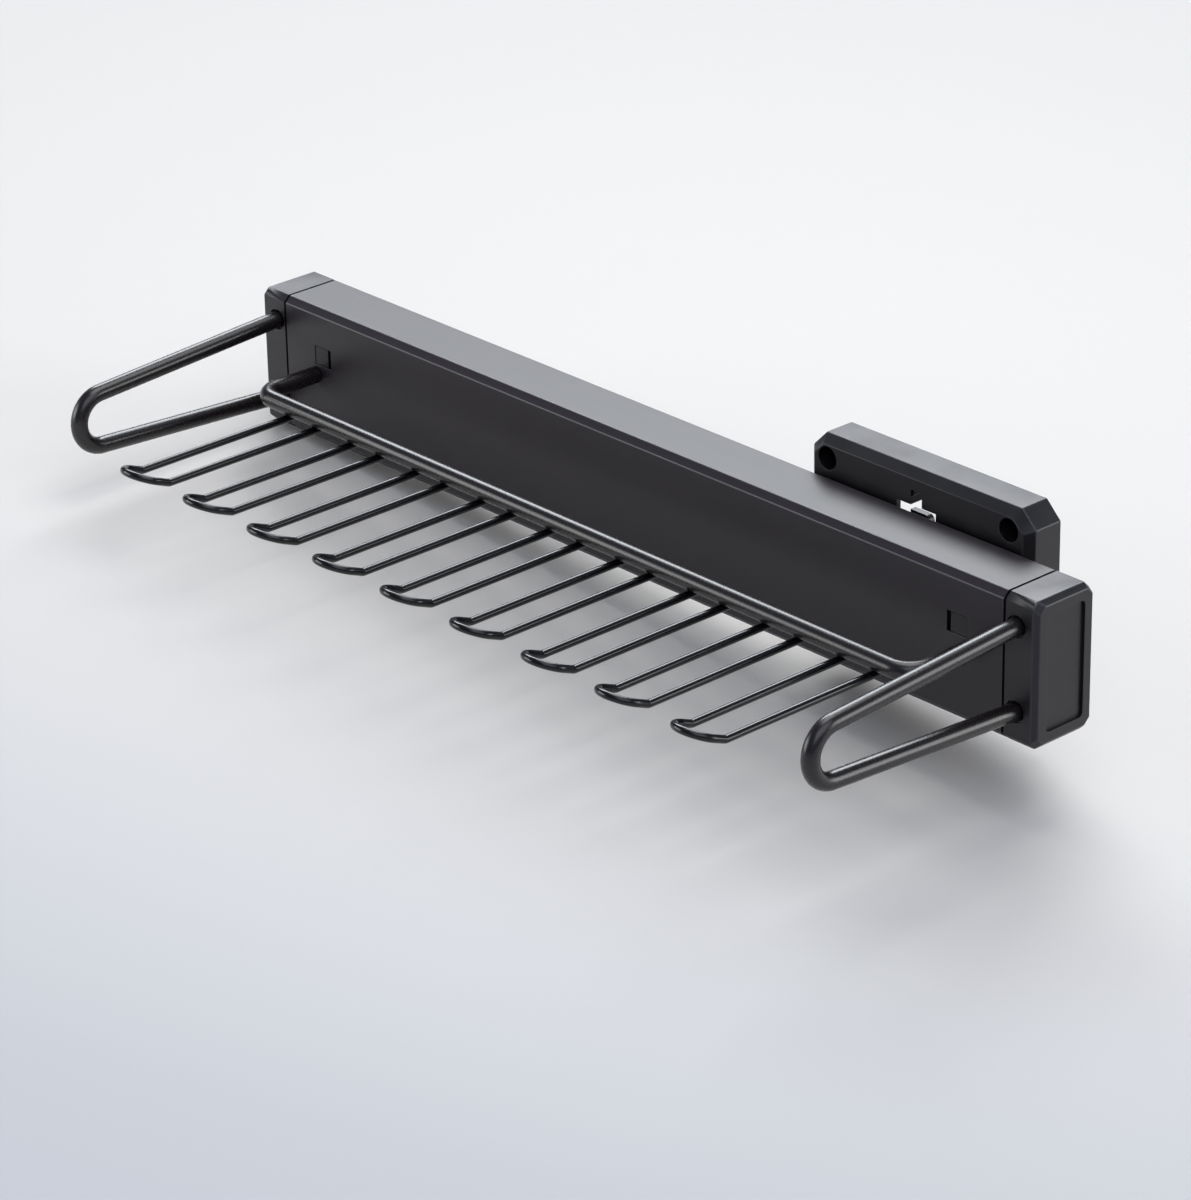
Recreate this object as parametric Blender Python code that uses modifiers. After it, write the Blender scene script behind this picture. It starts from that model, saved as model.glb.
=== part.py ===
"""Sliding tie rack for the side wall of a wardrobe.

A moulded plate is screwed to the wall and carries a roller carriage. An aluminium channel runs on the
carriage, with nine wire hooks on a rod along its front and a wire handle at each end.
World axes: X is the pull-out direction, Y points into the wall and Z is up. The origin is the middle of
the plate's back face. All sizes are in metres.
"""
import math

import bmesh
import bpy
from mathutils import Matrix

# Clearances
FIT_GAP = 0.0003
RUNNING_GAP = 0.0014

# Rail: a channel that is open at the back
RAIL_LENGTH = 0.460
RAIL_HEIGHT = 0.067
RAIL_DEPTH = 0.0336
RAIL_CHAMFER = 0.003
RAIL_WALL = 0.002
SLOT_HEIGHT = 0.044
BEAD_WIDTH = 0.003
BEAD_HEIGHT = 0.002

# Snap windows in the rail's front, for the catches of the end caps
WINDOW_WIDTH = 0.0115
WINDOW_HEIGHT = 0.0094
WINDOW_FROM_END = 0.0202
WINDOW_RISE = 0.0103
CATCH_LENGTH = 0.0090

# End caps: a block behind a narrow shadow groove, with a recessed end panel
CAP_LENGTH = 0.0182
CAP_CHAMFER = 0.0024
SEAM_WIDTH = 0.0010
SEAM_DEPTH = 0.0010
PANEL_MARGIN = 0.0045
PANEL_RADIUS = 0.0022
PANEL_DEPTH = 0.0014
TONGUE_LENGTH = 0.036
TONGUE_THICKNESS = 0.005
TONGUE_SPLIT = 0.0104

# Handles: converging rod loops
HANDLE_ROD = 0.0080
HANDLE_SPREAD = 0.0386
HANDLE_REACH = 0.1218
HANDLE_TIP_RADIUS = 0.0129
HANDLE_RISE = 0.0010
HANDLE_FROM_GAP = 0.0072
SOCKET_DEPTH = 0.014
SOCKET_RECESS = 0.0102
SOCKET_RECESS_DEPTH = 0.0015

# Hook bar: a rod bent twice, with a threaded spigot and a nut at each end
BAR_ROD = 0.0084
BAR_FROM_END = 0.0202
BAR_OFFSET = 0.0336
BAR_BEND = 0.010
BAR_RISE = 0.0002
SPIGOT_DIAMETER = 0.004
SPIGOT_LENGTH = 0.0085
NUT_FLATS = 0.007
NUT_THICKNESS = 0.0032

# Hooks: wire hairpins welded under the bar, with their round ends turned up
HOOK_COUNT = 9
HOOK_PITCH = 0.045
HOOK_WIRE = 0.0036
HOOK_WIDTH = 0.0197
HOOK_REACH = 0.1188
HOOK_LIP = 0.0161
HOOK_LIP_ANGLE = math.radians(22)
HOOK_BEND = 0.004
HOOK_LAP = 0.0034

# Wall plate
PLATE_LENGTH = 0.130
PLATE_HEIGHT = 0.1004
PLATE_THICKNESS = 0.019
PLATE_CORNER = 0.008
PLATE_BEVEL = 0.004
PLATE_WALL = 0.0024
HOLE_FROM_END = 0.0120
HOLE_FROM_TOP = 0.0102
HOLE_DIAMETER = 0.0052
COUNTERBORE = 0.0107
COUNTERBORE_DEPTH = 0.010
BOSS_WALL = 0.0028
HUB_DIAMETER = 0.020
RIB_THICKNESS = 0.0022

# Window in the plate, with a notch above it that a slanting rib divides from a blind recess
OPENING_WIDTH = 0.0228
OPENING_TOP = 0.0341
OPENING_HEIGHT = 0.0171
NOTCH_WIDTH = 0.0064
NOTCH_HEIGHT = 0.0042
RECESS_WIDTH = 0.0048
RECESS_HEIGHT = 0.0032
RECESS_RISE = 0.0068
RECESS_DEPTH = 0.0010

# Sprung finger that stands in the window on a foot
FINGER_WIDTH = 0.0115
FINGER_SHIFT = -0.0042
FINGER_HEIGHT = 0.0107
FINGER_SETBACK = 0.0070
FINGER_THICKNESS = 0.0030
FINGER_CORNER = 0.0030

# Carriage: as long as the plate
FLANGE_LAP = 0.006
FLANGE_THICKNESS = 0.005
SCREW_PITCH_X = 0.044
SCREW_PITCH_Z = 0.022
SCREW_DIAMETER = 0.0048
SCREW_HEAD = 0.0092
SCREW_HEAD_HEIGHT = 0.0026
SCREW_LENGTH = 0.018

# Rollers
ROLLER_DIAMETER = 0.020
ROLLER_WIDTH = 0.009
ROLLER_FROM_END = 0.015
AXLE_DIAMETER = 0.006
AXLE_HEAD = 0.010
AXLE_HEAD_HEIGHT = 0.0015
AXLE_SEAT = 0.0042

# Stops: a post on each cap's inner face, with a rubber buffer in its end
POST_LENGTH = 0.009
BUFFER_DIAMETER = 0.012
BUFFER_LENGTH = 0.0087
BUFFER_DOME = 0.003
BUFFER_SPIGOT = 0.005
BUFFER_SPIGOT_LENGTH = 0.005

# Head shape shared by the screws and axles: flat top and straight rim as shares of the head's own size
HEAD_FLAT = 0.8
HEAD_RIM = 0.5
SCREW_POINT = 0.5

# Steps of the round forms, and how far cutters reach past a face
ROUND_STEPS = 24
SMALL_ROUND_STEPS = 16
TIP_STEPS = 14
LOOP_STEPS = 12
BEND_STEPS = 6
EDGE_STEPS = 4
LIP_STEPS = 3
ROD_SIDES = 4
WIRE_SIDES = 2
WELD_DISTANCE = 0.000001
CUT_PAST = 0.002

# Places that follow from the sizes
PLATE_FRONT = -PLATE_THICKNESS
HOLE_PITCH_X = PLATE_LENGTH - 2 * HOLE_FROM_END
HOLE_PITCH_Z = PLATE_HEIGHT - 2 * HOLE_FROM_TOP
CARRIAGE_LENGTH = PLATE_LENGTH
ROLLER_PITCH = CARRIAGE_LENGTH - 2 * ROLLER_FROM_END
RAIL_FRONT = PLATE_FRONT - RUNNING_GAP - RAIL_DEPTH
POST_END = RAIL_LENGTH / 2 - POST_LENGTH
RAIL_MID = -(POST_END - BUFFER_LENGTH - 2 * FIT_GAP - CARRIAGE_LENGTH / 2)
CAP_INNER = RAIL_LENGTH / 2 + FIT_GAP
CAP_OUTER = CAP_INNER + CAP_LENGTH
HANDLE_X = RAIL_LENGTH / 2 + HANDLE_FROM_GAP
BAR_X = RAIL_LENGTH / 2 - BAR_FROM_END
FLANGE_BACK = RAIL_DEPTH - RAIL_WALL - FIT_GAP
FLANGE_FRONT = FLANGE_BACK - FLANGE_THICKNESS
ROLLER_BACK = FLANGE_FRONT - FIT_GAP
TRACK_Y = ROLLER_BACK - ROLLER_WIDTH / 2
ROLLER_Z = RAIL_HEIGHT / 2 - RAIL_WALL - FIT_GAP - ROLLER_DIAMETER / 2
BUFFER_Y = FLANGE_BACK - BUFFER_DIAMETER / 2
HOOK_Z = BAR_RISE - (BAR_ROD + HOOK_WIRE) / 2 - FIT_GAP

ALONG_X = Matrix.Rotation(math.radians(90), 4, "Z") @ Matrix.Rotation(math.radians(90), 4, "X")
ALONG_Y = Matrix.Rotation(math.radians(90), 4, "X")
FACING = (math.radians(90), 0.0, 0.0)

MATERIALS = {
    "anodised_aluminium": ((0.035, 0.034, 0.037), 0.42, 0.9),
    "moulded_nylon": ((0.020, 0.019, 0.021), 0.48, 0.0),
    "coated_rod": ((0.012, 0.011, 0.012), 0.38, 0.0),
    "coated_wire": ((0.008, 0.008, 0.009), 0.30, 0.0),
    "cast_aluminium": ((0.32, 0.33, 0.34), 0.45, 1.0),
    "zinc_plated_steel": ((0.52, 0.53, 0.55), 0.32, 1.0),
    "acetal": ((0.75, 0.75, 0.72), 0.40, 0.0),
    "rubber": ((0.015, 0.015, 0.015), 0.85, 0.0),
}


def clear_scene():
    for old in list(bpy.data.objects):
        bpy.data.objects.remove(old, do_unlink=True)


def new_collection(name):
    collection = bpy.data.collections.new(name)
    bpy.context.scene.collection.children.link(collection)
    return collection


def principled(name, colour, roughness, metallic):
    material = bpy.data.materials.new(name)
    material.use_nodes = True
    shader = material.node_tree.nodes["Principled BSDF"]
    shader.inputs["Base Color"].default_value = (*colour, 1.0)
    shader.inputs["Roughness"].default_value = roughness
    shader.inputs["Metallic"].default_value = metallic
    material.diffuse_color = (*colour, 1.0)
    return material


clear_scene()
PARTS = new_collection("sliding_tie_rack")
CUTTERS = new_collection("cutters")
PAINT = {name: principled(name, *values) for name, values in MATERIALS.items()}


def frame_empty(name, location):
    empty = bpy.data.objects.new(name, None)
    empty.location = location
    PARTS.objects.link(empty)
    return empty


WALL_MOUNT = frame_empty("wall_mount", (0.0, 0.0, 0.0))
RACK = frame_empty("rack", (RAIL_MID, RAIL_FRONT, 0.0))
bpy.context.view_layer.update()


def add_part(name, data, paint, parent, location=(0.0, 0.0, 0.0)):
    """A named piece under one of the two frames."""
    piece = bpy.data.objects.new(name, data)
    piece.parent = parent
    piece.location = location
    data.materials.append(PAINT[paint])
    PARTS.objects.link(piece)
    return piece


def add_cutter(name, mesh, parent, location=(0.0, 0.0, 0.0)):
    cutter = bpy.data.objects.new(name, mesh)
    cutter.parent = parent
    cutter.location = location
    cutter.hide_render = True
    cutter.display_type = "WIRE"
    CUTTERS.objects.link(cutter)
    return cutter


def boolean(target, tool, operation="DIFFERENCE"):
    modifier = target.modifiers.new(f"{operation.lower()}_{tool.name}", "BOOLEAN")
    modifier.operation = operation
    modifier.solver = "EXACT"
    modifier.object = tool


def box_mesh(name, low, high):
    """An upright box between two corners."""
    mesh = bpy.data.meshes.new(name)
    form = bmesh.new()
    bmesh.ops.create_cube(form, size=1.0)
    size = [b - a for a, b in zip(low, high)]
    middle = [(a + b) / 2 for a, b in zip(low, high)]
    carry = Matrix.Translation(middle) @ Matrix.Diagonal((*size, 1.0))
    bmesh.ops.transform(form, matrix=carry, verts=form.verts)
    form.to_mesh(mesh)
    form.free()
    return mesh


def cylinder_mesh(name, diameter, length, matrix, steps=ROUND_STEPS):
    """A cylinder about its own Z, centred, then carried by the matrix."""
    mesh = bpy.data.meshes.new(name)
    form = bmesh.new()
    bmesh.ops.create_cone(form, cap_ends=True, segments=steps, radius1=diameter / 2, radius2=diameter / 2,
                          depth=length, matrix=matrix)
    form.to_mesh(mesh)
    form.free()
    return mesh


def bore_mesh(name, diameter, x, z, front, back, steps=ROUND_STEPS):
    """A cylinder along Y between two depths."""
    matrix = Matrix.Translation((x, (front + back) / 2, z)) @ ALONG_Y
    return cylinder_mesh(name, diameter, back - front, matrix, steps)


def outline_mesh(name, loops, thickness, matrix):
    """Closed outlines, filled and thickened about their plane, then carried by the matrix."""
    curve = bpy.data.curves.new(name, "CURVE")
    curve.dimensions = "2D"
    curve.fill_mode = "BOTH"
    curve.extrude = thickness / 2
    for points in loops:
        spline = curve.splines.new("POLY")
        spline.points.add(len(points) - 1)
        for point, (u, v) in zip(spline.points, points):
            point.co = (u, v, 0.0, 1.0)
        spline.use_cyclic_u = True
    holder = bpy.data.objects.new(name, curve)
    CUTTERS.objects.link(holder)
    bpy.context.view_layer.update()
    seen = holder.evaluated_get(bpy.context.evaluated_depsgraph_get())
    mesh = bpy.data.meshes.new_from_object(seen)
    bpy.data.objects.remove(holder, do_unlink=True)
    form = bmesh.new()
    form.from_mesh(mesh)
    bmesh.ops.remove_doubles(form, verts=form.verts, dist=WELD_DISTANCE)
    bmesh.ops.transform(form, matrix=matrix, verts=form.verts)
    bmesh.ops.recalc_face_normals(form, faces=form.faces)
    form.to_mesh(mesh)
    form.free()
    return mesh


def bevel_end(mesh, axis, at, width):
    """Chamfers the outer edge of the flat end that lies at one place on an axis."""
    form = bmesh.new()
    form.from_mesh(mesh)
    bmesh.ops.dissolve_limit(form, angle_limit=math.radians(1), verts=form.verts, edges=form.edges)
    rim = [edge for edge in form.edges if all(abs(v.co[axis] - at) < WELD_DISTANCE for v in edge.verts)]
    bmesh.ops.bevel(form, geom=rim, offset=width, offset_type="OFFSET", segments=1, affect="EDGES",
                    profile=0.5)
    bmesh.ops.recalc_face_normals(form, faces=form.faces)
    form.to_mesh(mesh)
    form.free()


def turned_part(name, profile, paint, parent, location, rotation, steps=ROUND_STEPS):
    """A profile of (radius, height) points turned about its own Z."""
    closed = profile[0][0] > 0.0
    count = len(profile)
    edges = [(i, i + 1) for i in range(count - 1)]
    if closed:
        edges.append((count - 1, 0))
    mesh = bpy.data.meshes.new(name)
    mesh.from_pydata([(radius, 0.0, height) for radius, height in profile], edges, [])
    piece = add_part(name, mesh, paint, parent, location)
    piece.rotation_euler = rotation
    screw = piece.modifiers.new("turned", "SCREW")
    screw.steps = steps
    screw.render_steps = steps
    screw.use_merge_vertices = True
    screw.merge_threshold = WELD_DISTANCE
    screw.use_smooth_shade = True
    return piece


def rod_part(name, points, diameter, paint, parent, location, sides, radii=None):
    """A round rod along points. radii scales the rod at each point. sides is the bevel resolution."""
    curve = bpy.data.curves.new(name, "CURVE")
    curve.dimensions = "3D"
    curve.bevel_depth = diameter / 2
    curve.bevel_resolution = sides
    curve.use_fill_caps = True
    spline = curve.splines.new("POLY")
    spline.points.add(len(points) - 1)
    for index, (point, place) in enumerate(zip(spline.points, points)):
        point.co = (*place, 1.0)
        point.radius = radii[index] if radii else 1.0
    return add_part(name, curve, paint, parent, location)


def chamfered_rectangle(low_u, high_u, low_v, high_v, cut):
    """A rectangle with its four corners cut at 45 degrees."""
    return [(low_u + cut, low_v), (high_u - cut, low_v), (high_u, low_v + cut), (high_u, high_v - cut),
            (high_u - cut, high_v), (low_u + cut, high_v), (low_u, high_v - cut), (low_u, low_v + cut)]


def arc(u, v, radius, start, end, steps):
    """Points on an arc, from the start angle to the end angle in radians."""
    sweep = end - start
    angles = [start + sweep * step / steps for step in range(steps + 1)]
    return [(u + radius * math.cos(angle), v + radius * math.sin(angle)) for angle in angles]


def rounded_rectangle(low_u, high_u, low_v, high_v, radius):
    quarter = math.pi / 2
    corners = ((high_u - radius, high_v - radius), (low_u + radius, high_v - radius),
               (low_u + radius, low_v + radius), (high_u - radius, low_v + radius))
    points = []
    for turn, (u, v) in enumerate(corners):
        points += arc(u, v, radius, turn * quarter, (turn + 1) * quarter, EDGE_STEPS)
    return points


def four_places(pitch_x, pitch_z):
    """The corners of a rectangle about the plate's middle, as (x, z)."""
    return [(x * pitch_x / 2, z * pitch_z / 2) for x in (-1, 1) for z in (-1, 1)]


WALL_HOLES = four_places(HOLE_PITCH_X, HOLE_PITCH_Z)
SCREW_PLACES = four_places(SCREW_PITCH_X, SCREW_PITCH_Z)
ROLLER_PLACES = four_places(ROLLER_PITCH, 2 * ROLLER_Z)


def rail_section():
    """The channel's closed outline in depth and height, with the lips of the slot and the two track beads."""
    top = RAIL_HEIGHT / 2
    slot = SLOT_HEIGHT / 2
    inner_top = top - RAIL_WALL
    inner_back = RAIL_DEPTH - RAIL_WALL
    inner_cut = RAIL_CHAMFER - RAIL_WALL * (2 - math.sqrt(2))
    bead = BEAD_WIDTH / 2
    upper_outer = [(RAIL_DEPTH, slot), (RAIL_DEPTH, top - RAIL_CHAMFER), (RAIL_DEPTH - RAIL_CHAMFER, top),
                   (RAIL_CHAMFER, top), (0.0, top - RAIL_CHAMFER)]
    upper_inner = [(RAIL_WALL, inner_top - inner_cut), (RAIL_WALL + inner_cut, inner_top),
                   (TRACK_Y - bead, inner_top), (TRACK_Y - bead, inner_top - BEAD_HEIGHT),
                   (TRACK_Y + bead, inner_top - BEAD_HEIGHT), (TRACK_Y + bead, inner_top),
                   (inner_back - inner_cut, inner_top), (inner_back, inner_top - inner_cut),
                   (inner_back, slot)]
    lower_outer = [(y, -z) for y, z in reversed(upper_outer)]
    lower_inner = [(y, -z) for y, z in reversed(upper_inner)]
    return upper_outer + lower_outer + lower_inner + upper_inner


def build_rail():
    channel = outline_mesh("rail", [rail_section()], RAIL_LENGTH, ALONG_X)
    rail = add_part("rail", channel, "anodised_aluminium", RACK)
    for side, word in ((-1, "left"), (1, "right")):
        near = side * (RAIL_LENGTH / 2 - WINDOW_FROM_END)
        far = near - side * WINDOW_WIDTH
        low = (min(near, far), -CUT_PAST, WINDOW_RISE - WINDOW_HEIGHT / 2)
        high = (max(near, far), RAIL_WALL + FIT_GAP, WINDOW_RISE + WINDOW_HEIGHT / 2)
        boolean(rail, add_cutter(f"snap_window_{word}", box_mesh(f"snap_window_{word}", low, high), RACK))
        hole = bore_mesh(f"spigot_hole_{word}", SPIGOT_DIAMETER + 2 * FIT_GAP, side * BAR_X, BAR_RISE,
                         -CUT_PAST, RAIL_WALL + FIT_GAP, SMALL_ROUND_STEPS)
        boolean(rail, add_cutter(f"spigot_hole_{word}", hole, RACK))


def handle_taper():
    """Angle of each handle leg to the level, and the middle of the round tip."""
    tip_middle = -(HANDLE_REACH - HANDLE_ROD / 2 - HANDLE_TIP_RADIUS)
    half = HANDLE_SPREAD / 2
    taper = math.atan2(half, -tip_middle) - math.asin(HANDLE_TIP_RADIUS / math.hypot(tip_middle, half))
    return taper, tip_middle


def build_handle(side, word):
    taper, tip_middle = handle_taper()
    end = SOCKET_DEPTH - FIT_GAP
    leg_end = HANDLE_SPREAD / 2 + end * math.tan(taper)
    tip = arc(tip_middle, 0.0, HANDLE_TIP_RADIUS, math.pi / 2 + taper, 3 * math.pi / 2 - taper,
              TIP_STEPS)
    path = [(end, leg_end)] + tip + [(end, -leg_end)]
    points = [(0.0, y, z) for y, z in path]
    place = (side * HANDLE_X, 0.0, HANDLE_RISE)
    rod_part(f"{word}_handle", points, HANDLE_ROD, "coated_rod", RACK, place, ROD_SIDES)


def cap_tongue(side, low_z, high_z, name):
    inner = side * (RAIL_LENGTH / 2 - TONGUE_LENGTH)
    root = side * (CAP_INNER + CUT_PAST)
    front = RAIL_WALL + FIT_GAP
    back = front + TONGUE_THICKNESS
    return box_mesh(name, (min(inner, root), front, low_z), (max(inner, root), back, high_z))


def cap_section(name, side, inset, start, end):
    """A length of the rail's outer outline, inset all round, between two distances from the rail's middle."""
    top = RAIL_HEIGHT / 2 - inset
    cut = RAIL_CHAMFER - inset * (2 - math.sqrt(2))
    section = chamfered_rectangle(inset, RAIL_DEPTH - inset, -top, top, cut)
    carry = Matrix.Translation((side * (start + end) / 2, 0.0, 0.0)) @ ALONG_X
    return outline_mesh(name, [section], end - start, carry)


def cap_block(name, side):
    """The cap's visible body. Its end is drawn in at the front, the top and the bottom by a chamfer."""
    shoulder = CAP_OUTER - CAP_CHAMFER
    mesh = cap_section(name, side, 0.0, CAP_INNER + SEAM_WIDTH, shoulder)
    form = bmesh.new()
    form.from_mesh(mesh)
    bmesh.ops.dissolve_limit(form, angle_limit=math.radians(1), verts=form.verts, edges=form.edges)
    end_face = max(form.faces, key=lambda face: side * face.calc_center_median().x)
    drawn_face = bmesh.ops.extrude_discrete_faces(form, faces=[end_face])["faces"][0]
    for vert in drawn_face.verts:
        vert.co.x = side * CAP_OUTER
        vert.co.z -= math.copysign(CAP_CHAMFER, vert.co.z)
        if vert.co.y < RAIL_DEPTH / 2:
            vert.co.y += CAP_CHAMFER
    bmesh.ops.recalc_face_normals(form, faces=form.faces)
    form.to_mesh(mesh)
    form.free()
    return mesh


def build_cap(side, word):
    """A chamfered block with two tongues inside the rail, the upper one with a catch in the snap window."""
    name = f"{word}_end_cap"
    top = RAIL_HEIGHT / 2
    cap = add_part(name, cap_block(name, side), "moulded_nylon", RACK)
    plinth = cap_section("plinth", side, SEAM_DEPTH, CAP_INNER, CAP_INNER + SEAM_WIDTH + CUT_PAST)
    boolean(cap, add_cutter(f"plinth_{word}", plinth, RACK), "UNION")

    drawn_in = CAP_CHAMFER + PANEL_MARGIN
    panel = rounded_rectangle(drawn_in, RAIL_DEPTH - PANEL_MARGIN, drawn_in - top, top - drawn_in,
                              PANEL_RADIUS)
    carry = Matrix.Translation((side * CAP_OUTER, 0.0, 0.0)) @ ALONG_X
    sunk = outline_mesh("panel", [panel], 2 * PANEL_DEPTH, carry)
    boolean(cap, add_cutter(f"end_panel_{word}", sunk, RACK))

    reach = top - RAIL_WALL - RAIL_CHAMFER
    split = TONGUE_SPLIT / 2
    for place, low, high in (("upper", split, reach), ("lower", -reach, -split)):
        tongue = f"{place}_tongue_{word}"
        boolean(cap, add_cutter(tongue, cap_tongue(side, low, high, tongue), RACK), "UNION")
    near = side * (RAIL_LENGTH / 2 - WINDOW_FROM_END - FIT_GAP)
    far = near - side * CATCH_LENGTH
    half = WINDOW_HEIGHT / 2 - FIT_GAP
    catch = box_mesh("catch", (min(near, far), FIT_GAP, WINDOW_RISE - half),
                     (max(near, far), RAIL_WALL + TONGUE_THICKNESS / 2, WINDOW_RISE + half))
    boolean(cap, add_cutter(f"catch_{word}", catch, RACK), "UNION")

    taper, _ = handle_taper()
    for sign, place in ((1, "upper"), (-1, "lower")):
        turn = Matrix.Rotation(sign * taper, 4, "X")
        middle = Matrix.Translation((side * HANDLE_X, 0.0, HANDLE_RISE + sign * HANDLE_SPREAD / 2))
        for label, diameter, depth in (("socket", HANDLE_ROD + 2 * FIT_GAP, SOCKET_DEPTH),
                                       ("recess", SOCKET_RECESS, SOCKET_RECESS_DEPTH)):
            shift = Matrix.Translation((0.0, (depth - CUT_PAST) / 2, 0.0))
            bore = cylinder_mesh(label, diameter, depth + CUT_PAST, middle @ turn @ shift @ ALONG_Y)
            boolean(cap, add_cutter(f"{label}_{place}_{word}", bore, RACK))

    for label, diameter, start, end, operation in (
            ("stop_post", BUFFER_DIAMETER, POST_END, CAP_INNER + CUT_PAST, "UNION"),
            ("buffer_seat", BUFFER_SPIGOT + 2 * FIT_GAP, POST_END - CUT_PAST,
             POST_END + BUFFER_SPIGOT_LENGTH + FIT_GAP, "DIFFERENCE")):
        carry = Matrix.Translation((side * (start + end) / 2, BUFFER_Y, 0.0)) @ ALONG_X
        stud = cylinder_mesh(label, diameter, end - start, carry, SMALL_ROUND_STEPS)
        boolean(cap, add_cutter(f"{label}_{word}", stud, RACK), operation)


def build_buffer(side, word):
    """A rubber stop with a domed nose and a spigot in the cap's post."""
    dome = [(0.0, BUFFER_LENGTH)]
    for step in range(1, EDGE_STEPS + 1):
        angle = math.pi / 2 * step / EDGE_STEPS
        radius = BUFFER_DIAMETER / 2 * math.sin(angle)
        dome.append((radius, BUFFER_LENGTH - BUFFER_DOME * (1 - math.cos(angle))))
    spigot = BUFFER_SPIGOT / 2
    profile = dome + [(BUFFER_DIAMETER / 2, 0.0), (spigot, 0.0), (spigot, -BUFFER_SPIGOT_LENGTH),
                      (0.0, -BUFFER_SPIGOT_LENGTH)]
    place = (side * (POST_END - FIT_GAP), BUFFER_Y, 0.0)
    turned_part(f"{word}_stop_buffer", profile, "rubber", RACK, place, (0.0, -side * math.pi / 2, 0.0),
                SMALL_ROUND_STEPS)


def build_hook_bar():
    """A rod bent to a wide U, stepped down to a spigot at each end."""
    front = -BAR_OFFSET
    middle_x = BAR_X - BAR_BEND
    middle_y = front + BAR_BEND
    left = arc(-middle_x, middle_y, BAR_BEND, math.pi, 3 * math.pi / 2, BEND_STEPS)
    right = arc(middle_x, middle_y, BAR_BEND, -math.pi / 2, 0.0, BEND_STEPS)
    spigot_end = RAIL_WALL + SPIGOT_LENGTH
    shoulder = -FIT_GAP
    step = FIT_GAP / 10
    path = [(-BAR_X, spigot_end), (-BAR_X, shoulder), (-BAR_X, shoulder - step)] + left + right
    path += [(BAR_X, shoulder - step), (BAR_X, shoulder), (BAR_X, spigot_end)]
    slim = SPIGOT_DIAMETER / BAR_ROD
    radii = [slim, slim] + [1.0] * (len(path) - 4) + [slim, slim]
    points = [(x, y, 0.0) for x, y in path]
    rod_part("hook_bar", points, BAR_ROD, "coated_rod", RACK, (0.0, 0.0, BAR_RISE), ROD_SIDES, radii)


def build_bar_nut(side, word):
    """A hexagon nut on the bar's spigot, against the inside of the rail's front."""
    corner = NUT_FLATS / math.sqrt(3)
    hexagon = arc(0.0, 0.0, corner, 0.0, 2 * math.pi, 6)[:-1]
    bore = arc(0.0, 0.0, SPIGOT_DIAMETER / 2 + FIT_GAP, 0.0, 2 * math.pi, SMALL_ROUND_STEPS)[:-1]
    mesh = outline_mesh(f"{word}_bar_nut", [hexagon, bore], NUT_THICKNESS, ALONG_Y)
    place = (side * BAR_X, RAIL_WALL + FIT_GAP + NUT_THICKNESS / 2, BAR_RISE)
    add_part(f"{word}_bar_nut", mesh, "zinc_plated_steel", RACK, place)


def hook_path():
    """One hairpin: out along the left wire, round the turned-up end and back along the right wire."""
    half = HOOK_WIDTH / 2
    start = -BAR_OFFSET + HOOK_LAP
    rise, run = math.sin(HOOK_LIP_ANGLE), math.cos(HOOK_LIP_ANGLE)
    tangent = HOOK_BEND * math.tan(HOOK_LIP_ANGLE / 2)

    def on_lip(x, distance):
        return (x, -HOOK_REACH - distance * run, distance * rise)

    def bend(x):
        middle = -HOOK_REACH + tangent
        points = []
        for step in range(LIP_STEPS + 1):
            angle = HOOK_LIP_ANGLE * step / LIP_STEPS
            points.append((x, middle - HOOK_BEND * math.sin(angle), HOOK_BEND * (1 - math.cos(angle))))
        return points

    round_end = [on_lip(x, d) for x, d in arc(0.0, HOOK_LIP - half, half, math.pi, 0.0, LOOP_STEPS)]
    return [(-half, start, 0.0)] + bend(-half) + round_end + bend(half)[::-1] + [(half, start, 0.0)]


def build_hooks():
    path = hook_path()
    for number in range(HOOK_COUNT):
        x = (number - (HOOK_COUNT - 1) / 2) * HOOK_PITCH
        rod_part(f"tie_hook_{number + 1}", path, HOOK_WIRE, "coated_wire", RACK, (x, 0.0, HOOK_Z), WIRE_SIDES)


def plate_block(name, inset, front, back, bevel):
    """The plate's outline with cut corners, inset all round, between two depths, its front edge bevelled."""
    half_x = PLATE_LENGTH / 2 - inset
    half_z = PLATE_HEIGHT / 2 - inset
    cut = PLATE_CORNER - inset * (2 - math.sqrt(2))
    outline = chamfered_rectangle(-half_x, half_x, -half_z, half_z, cut)
    carry = Matrix.Translation((0.0, (front + back) / 2, 0.0)) @ ALONG_Y
    mesh = outline_mesh(name, [outline], back - front, carry)
    bevel_end(mesh, 1, front, bevel)
    return mesh


def finger_solids():
    """The foot behind the window's lower edge, and the finger that stands on it with one rounded corner."""
    left = FINGER_SHIFT - FINGER_WIDTH / 2
    right = FINGER_SHIFT + FINGER_WIDTH / 2
    floor = OPENING_TOP - OPENING_HEIGHT
    top = floor + FINGER_HEIGHT
    near = PLATE_FRONT + FINGER_SETBACK
    far = near + FINGER_THICKNESS
    foot = box_mesh("finger_foot", (left, PLATE_FRONT, floor - RIB_THICKNESS), (right, far, floor))
    corner = arc(right - FINGER_CORNER, top - FINGER_CORNER, FINGER_CORNER, 0.0, math.pi / 2, EDGE_STEPS)
    root = floor - RIB_THICKNESS / 2
    outline = [(left, root), (right, root)] + corner + [(left, top)]
    carry = Matrix.Translation((0.0, (near + far) / 2, 0.0)) @ ALONG_Y
    return [foot, outline_mesh("finger", [outline], FINGER_THICKNESS, carry)]


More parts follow.
